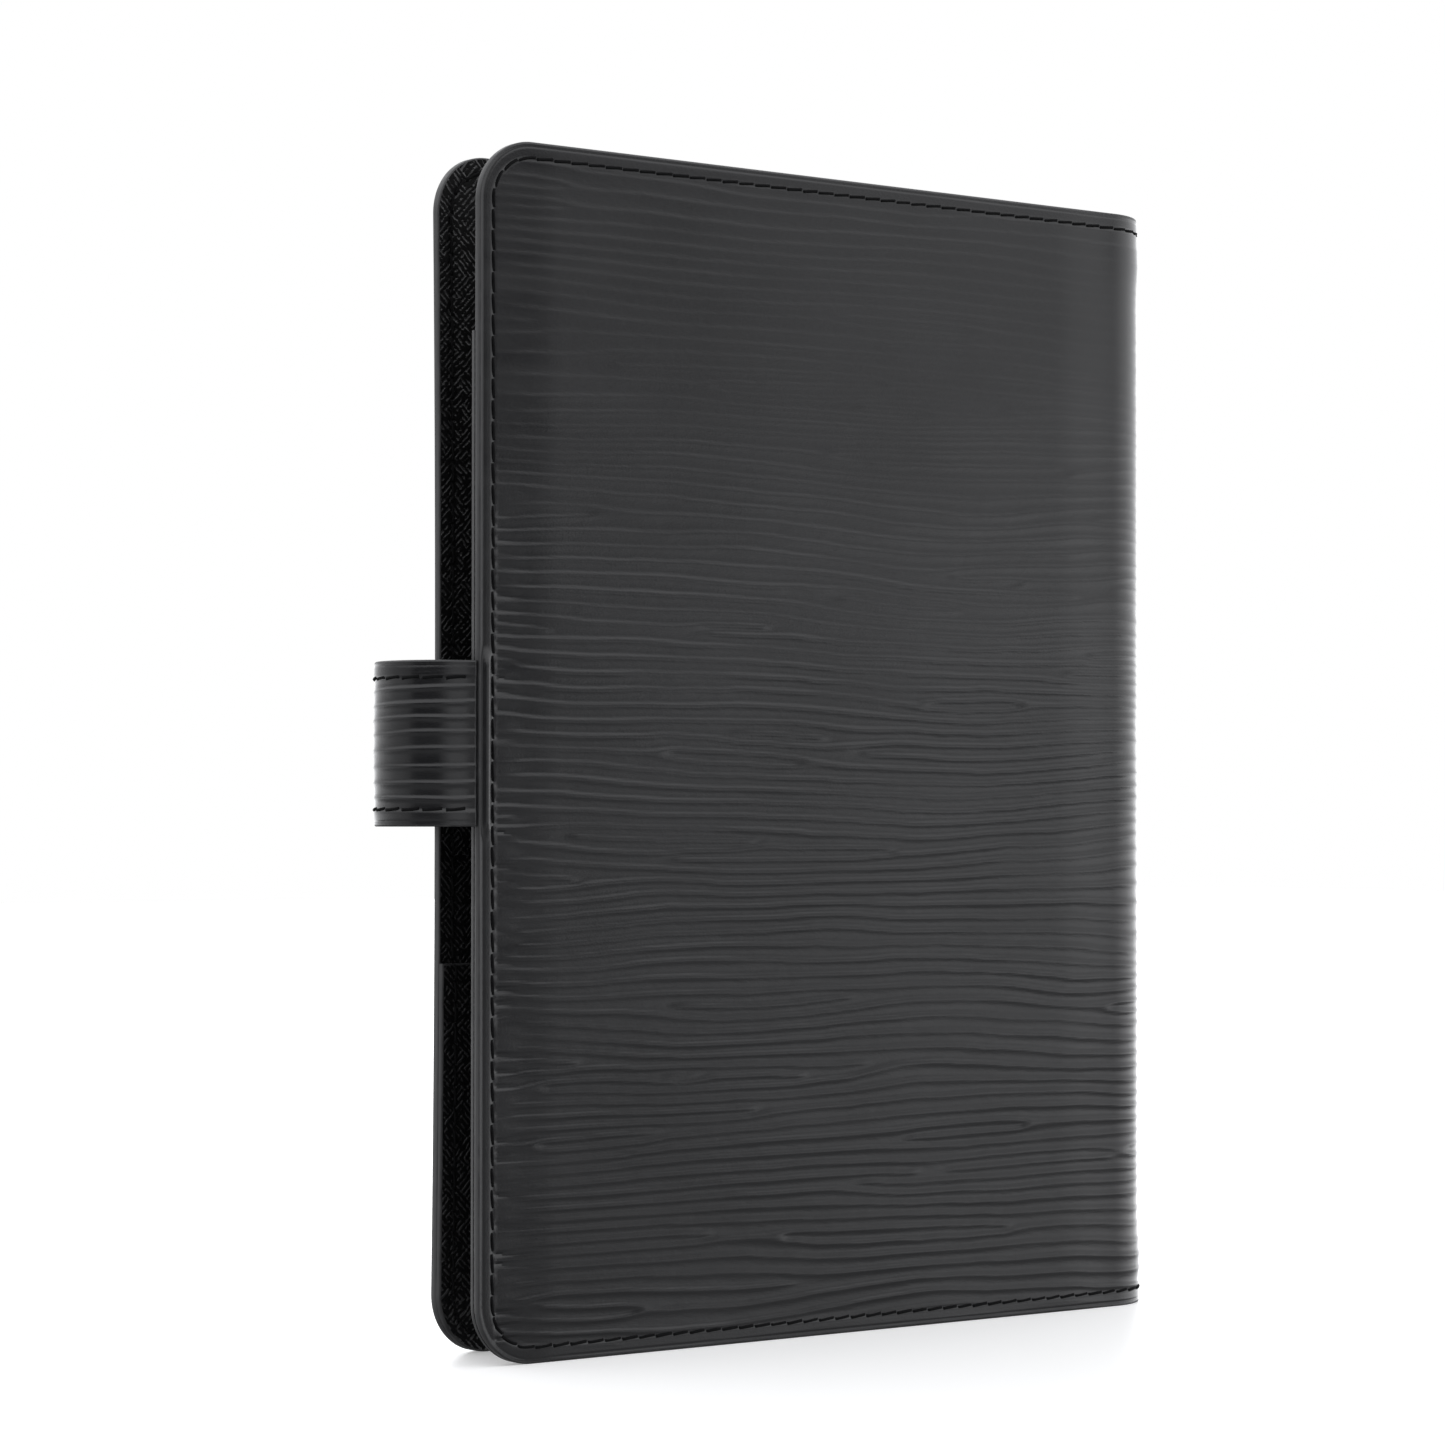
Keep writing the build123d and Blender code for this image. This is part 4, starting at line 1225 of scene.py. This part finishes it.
# ---------------------------------------------------------------- snap
def cap_outline(radius):
    """The cap's (radius, height over the strap), from the end of its shank to the top of its dome."""
    foot = -STRAP - SHANK_REACH
    round_in = 0.1
    outline = [(0.0, foot), (SHANK_RADIUS - round_in, foot)]
    outline += [(SHANK_RADIUS, foot + round_in), (SHANK_RADIUS, 0.0)]
    half = CAP_RIM / 2
    for turn in np.linspace(-math.pi / 2, math.pi / 2, 7):
        outline.append((radius - half + half * math.cos(turn), half + half * math.sin(turn)))
    base, rise = radius - CAP_LIP, CAP_RISE - CAP_RIM
    dome_radius = (base**2 + rise**2) / (2 * rise)
    for r in np.linspace(base, 0, 16):
        outline.append((r, CAP_RISE - dome_radius + math.sqrt(dome_radius**2 - r**2)))
    return outline


def turned_skin(name, outline, place, material):
    """A closed solid turned round an axis, from an outline that starts and ends on the axis."""
    sides = CAP_SIDES
    rings = [[place(0.0, 0.0, outline[0][1])]]
    for radius, height in outline[1:-1]:
        angles = [2 * math.pi * k / sides for k in range(sides)]
        rings.append([place(radius * math.cos(a), radius * math.sin(a), height) for a in angles])
    rings.append([place(0.0, 0.0, outline[-1][1])])
    faces, first = [], 0
    for lower, upper in zip(rings[:-1], rings[1:]):
        start = first + len(lower)
        for k in range(sides):
            n = (k + 1) % sides
            near = [first + k, first + n] if len(lower) > 1 else [first]
            far = [start + n, start + k] if len(upper) > 1 else [start]
            faces.append(near + far)
        first = start
    points = [point for ring in rings for point in ring]
    obj = make_object(name, points, faces, [0] * len(faces), [material])
    mark_sharp(obj, CAP_SHARP)
    return obj


def build_snap_cap():
    """The snap's domed cap, on the same axis as its socket."""
    low, high = box_mm("snap_socket")
    middle, size = (low + high) / 2, high - low
    socket_height = (size[1] - size[2] * math.sin(TURNED)) / math.cos(TURNED)
    strap_top = socket_height / 2 + STRAP
    cap_low, cap_high = box_mm("snap_cap")

    def place(across, up, height):
        out = strap_top + height
        x, y = middle[:2] + across * FRONT_ALONG + out * FRONT_OUT
        return np.array([x, y, middle[2] + up]) * MM

    obj = turned_skin("snap_cap_skin", cap_outline((cap_high[2] - cap_low[2]) / 2), place, BRASS_LOOK)
    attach(obj, "strap_tip")
    name_piece(obj, "snap_metal", ["snap_cap"])


# ---------------------------------------------------------------- carried-over CAD nodes
def dress_frame():
    """Gives every CAD node that stays its material."""
    looks = {
        "outside_leather": LEATHER_LOOK,
        "lining_leather": LINING_LOOK,
        "thread": THREAD_LOOK,
        "board": BOARD_LOOK,
        "snap_metal": BRASS_LOOK,
        "ring_metal": CHROME_LOOK,
    }
    slots = {s["node"]: s["material_slot"] for s in frame["record"]["subparts"]}
    for name, node in frame["nodes"].items():
        node.data.materials.clear()
        node.data.materials.append(looks[slots[name]])


# ---------------------------------------------------------------- floor, light and camera
def build_floor():
    """A white floor, lit to the same white as the background; it can't be seen in reflections."""
    mesh = bpy.data.meshes.new("floor")
    half = FLOOR_HALF
    corners = [(-half, -half, 0), (half, -half, 0), (half, half, 0), (-half, half, 0)]
    mesh.from_pydata(corners, [], [(0, 1, 2, 3)])
    floor = bpy.data.objects.new("floor", mesh)
    bpy.context.scene.collection.objects.link(floor)
    white = {
        "Base Color": (0.8, 0.8, 0.8, 1),
        "Roughness": 0.28,
        "Specular IOR Level": 0.35,
        "Emission Color": (1, 1, 1, 1),
        "Emission Strength": FLOOR_GLOW,
    }
    mesh.materials.append(new_material("floor_white", white)[0])
    floor.visible_glossy = False


def fade(tree, height, limits, low_value, high_value):
    """A smooth step in brightness between two heights of the studio."""
    return ramp(tree, height, *limits, low_value, high_value, step="SMOOTHSTEP")


def wall_level(tree, direction):
    """The studio wall's brightness in a direction, from its headings table."""
    around = add_node(tree, "ShaderNodeTexGradient", gradient_type="RADIAL")
    tree.links.new(direction, around.inputs["Vector"])
    colours = add_node(tree, "ShaderNodeValToRGB")
    tree.links.new(around.outputs["Fac"], colours.inputs["Fac"])
    stops = colours.color_ramp
    stops.interpolation = "EASE"
    for heading, _ in WALL[1:-1]:
        stops.elements.new((heading + 180) / 360)
    for stop, (_, level) in zip(stops.elements, WALL):
        stop.color = (*[level / WALL_RANGE] * 3, 1)
    return product(tree, colours.outputs["Color"], WALL_RANGE)


def build_world():
    """White for the camera; for light and reflections a soft wall with an unlit side, dimmer below."""
    world = bpy.data.worlds.new("studio")
    bpy.context.scene.world = world
    world.use_nodes = True
    tree = world.node_tree
    tree.nodes.clear()
    direction = add_node(tree, "ShaderNodeTexCoord").outputs["Generated"]
    parts = add_node(tree, "ShaderNodeSeparateXYZ")
    tree.links.new(direction, parts.inputs[0])
    height = parts.outputs["Z"]
    level = add_node(tree, "ShaderNodeMix", {"B": CEILING_LEVEL}, data_type="FLOAT")
    tree.links.new(fade(tree, height, CEILING, 0.0, 1.0), level.inputs["Factor"])
    foot = fade(tree, height, FOOT, FOOT_LEVEL, 1.0)
    wall = product(tree, wall_level(tree, direction), foot)
    sides = add_node(tree, "ShaderNodeMix", data_type="FLOAT")
    tree.links.new(fade(tree, height, HORIZON, 0.0, 1.0), sides.inputs["Factor"])
    tree.links.new(fade(tree, height, GROUND, *GROUND_LEVELS), sides.inputs["A"])
    tree.links.new(wall, sides.inputs["B"])
    tree.links.new(sides.outputs["Result"], level.inputs["A"])
    lit = add_node(tree, "ShaderNodeBackground", {"Color": (*STUDIO_TINT, 1)})
    tree.links.new(level.outputs["Result"], lit.inputs["Strength"])
    white = add_node(tree, "ShaderNodeBackground", {"Color": (1, 1, 1, 1), "Strength": 1.0})
    path = add_node(tree, "ShaderNodeLightPath")
    mix = add_node(tree, "ShaderNodeMixShader")
    tree.links.new(path.outputs["Is Camera Ray"], mix.inputs["Fac"])
    tree.links.new(lit.outputs[0], mix.inputs[1])
    tree.links.new(white.outputs[0], mix.inputs[2])
    out = add_node(tree, "ShaderNodeOutputWorld")
    tree.links.new(mix.outputs[0], out.inputs["Surface"])


def build_camera():
    """The camera looks at the back cover from the fore-edge side, low and almost level."""
    data = bpy.data.cameras.new("camera")
    data.lens = LENS
    data.sensor_width = SENSOR
    data.clip_start = 0.01
    camera = bpy.data.objects.new("camera", data)
    x, y, z = CAMERA_PLACE
    camera.location = Vector(place_points(x, y, z))
    heading = math.radians(CAMERA_HEADING)
    ahead = Vector((math.sin(heading), math.cos(heading), math.tan(math.radians(CAMERA_RISE))))
    camera.rotation_mode = "QUATERNION"
    camera.rotation_quaternion = ahead.to_track_quat("-Z", "Y")
    bpy.context.scene.collection.objects.link(camera)
    bpy.context.scene.camera = camera


dress_frame()
build_covers()
build_strap()
build_snap_cap()
build_floor()
build_world()
build_camera()
bpy.context.scene.view_settings.view_transform = "Standard"
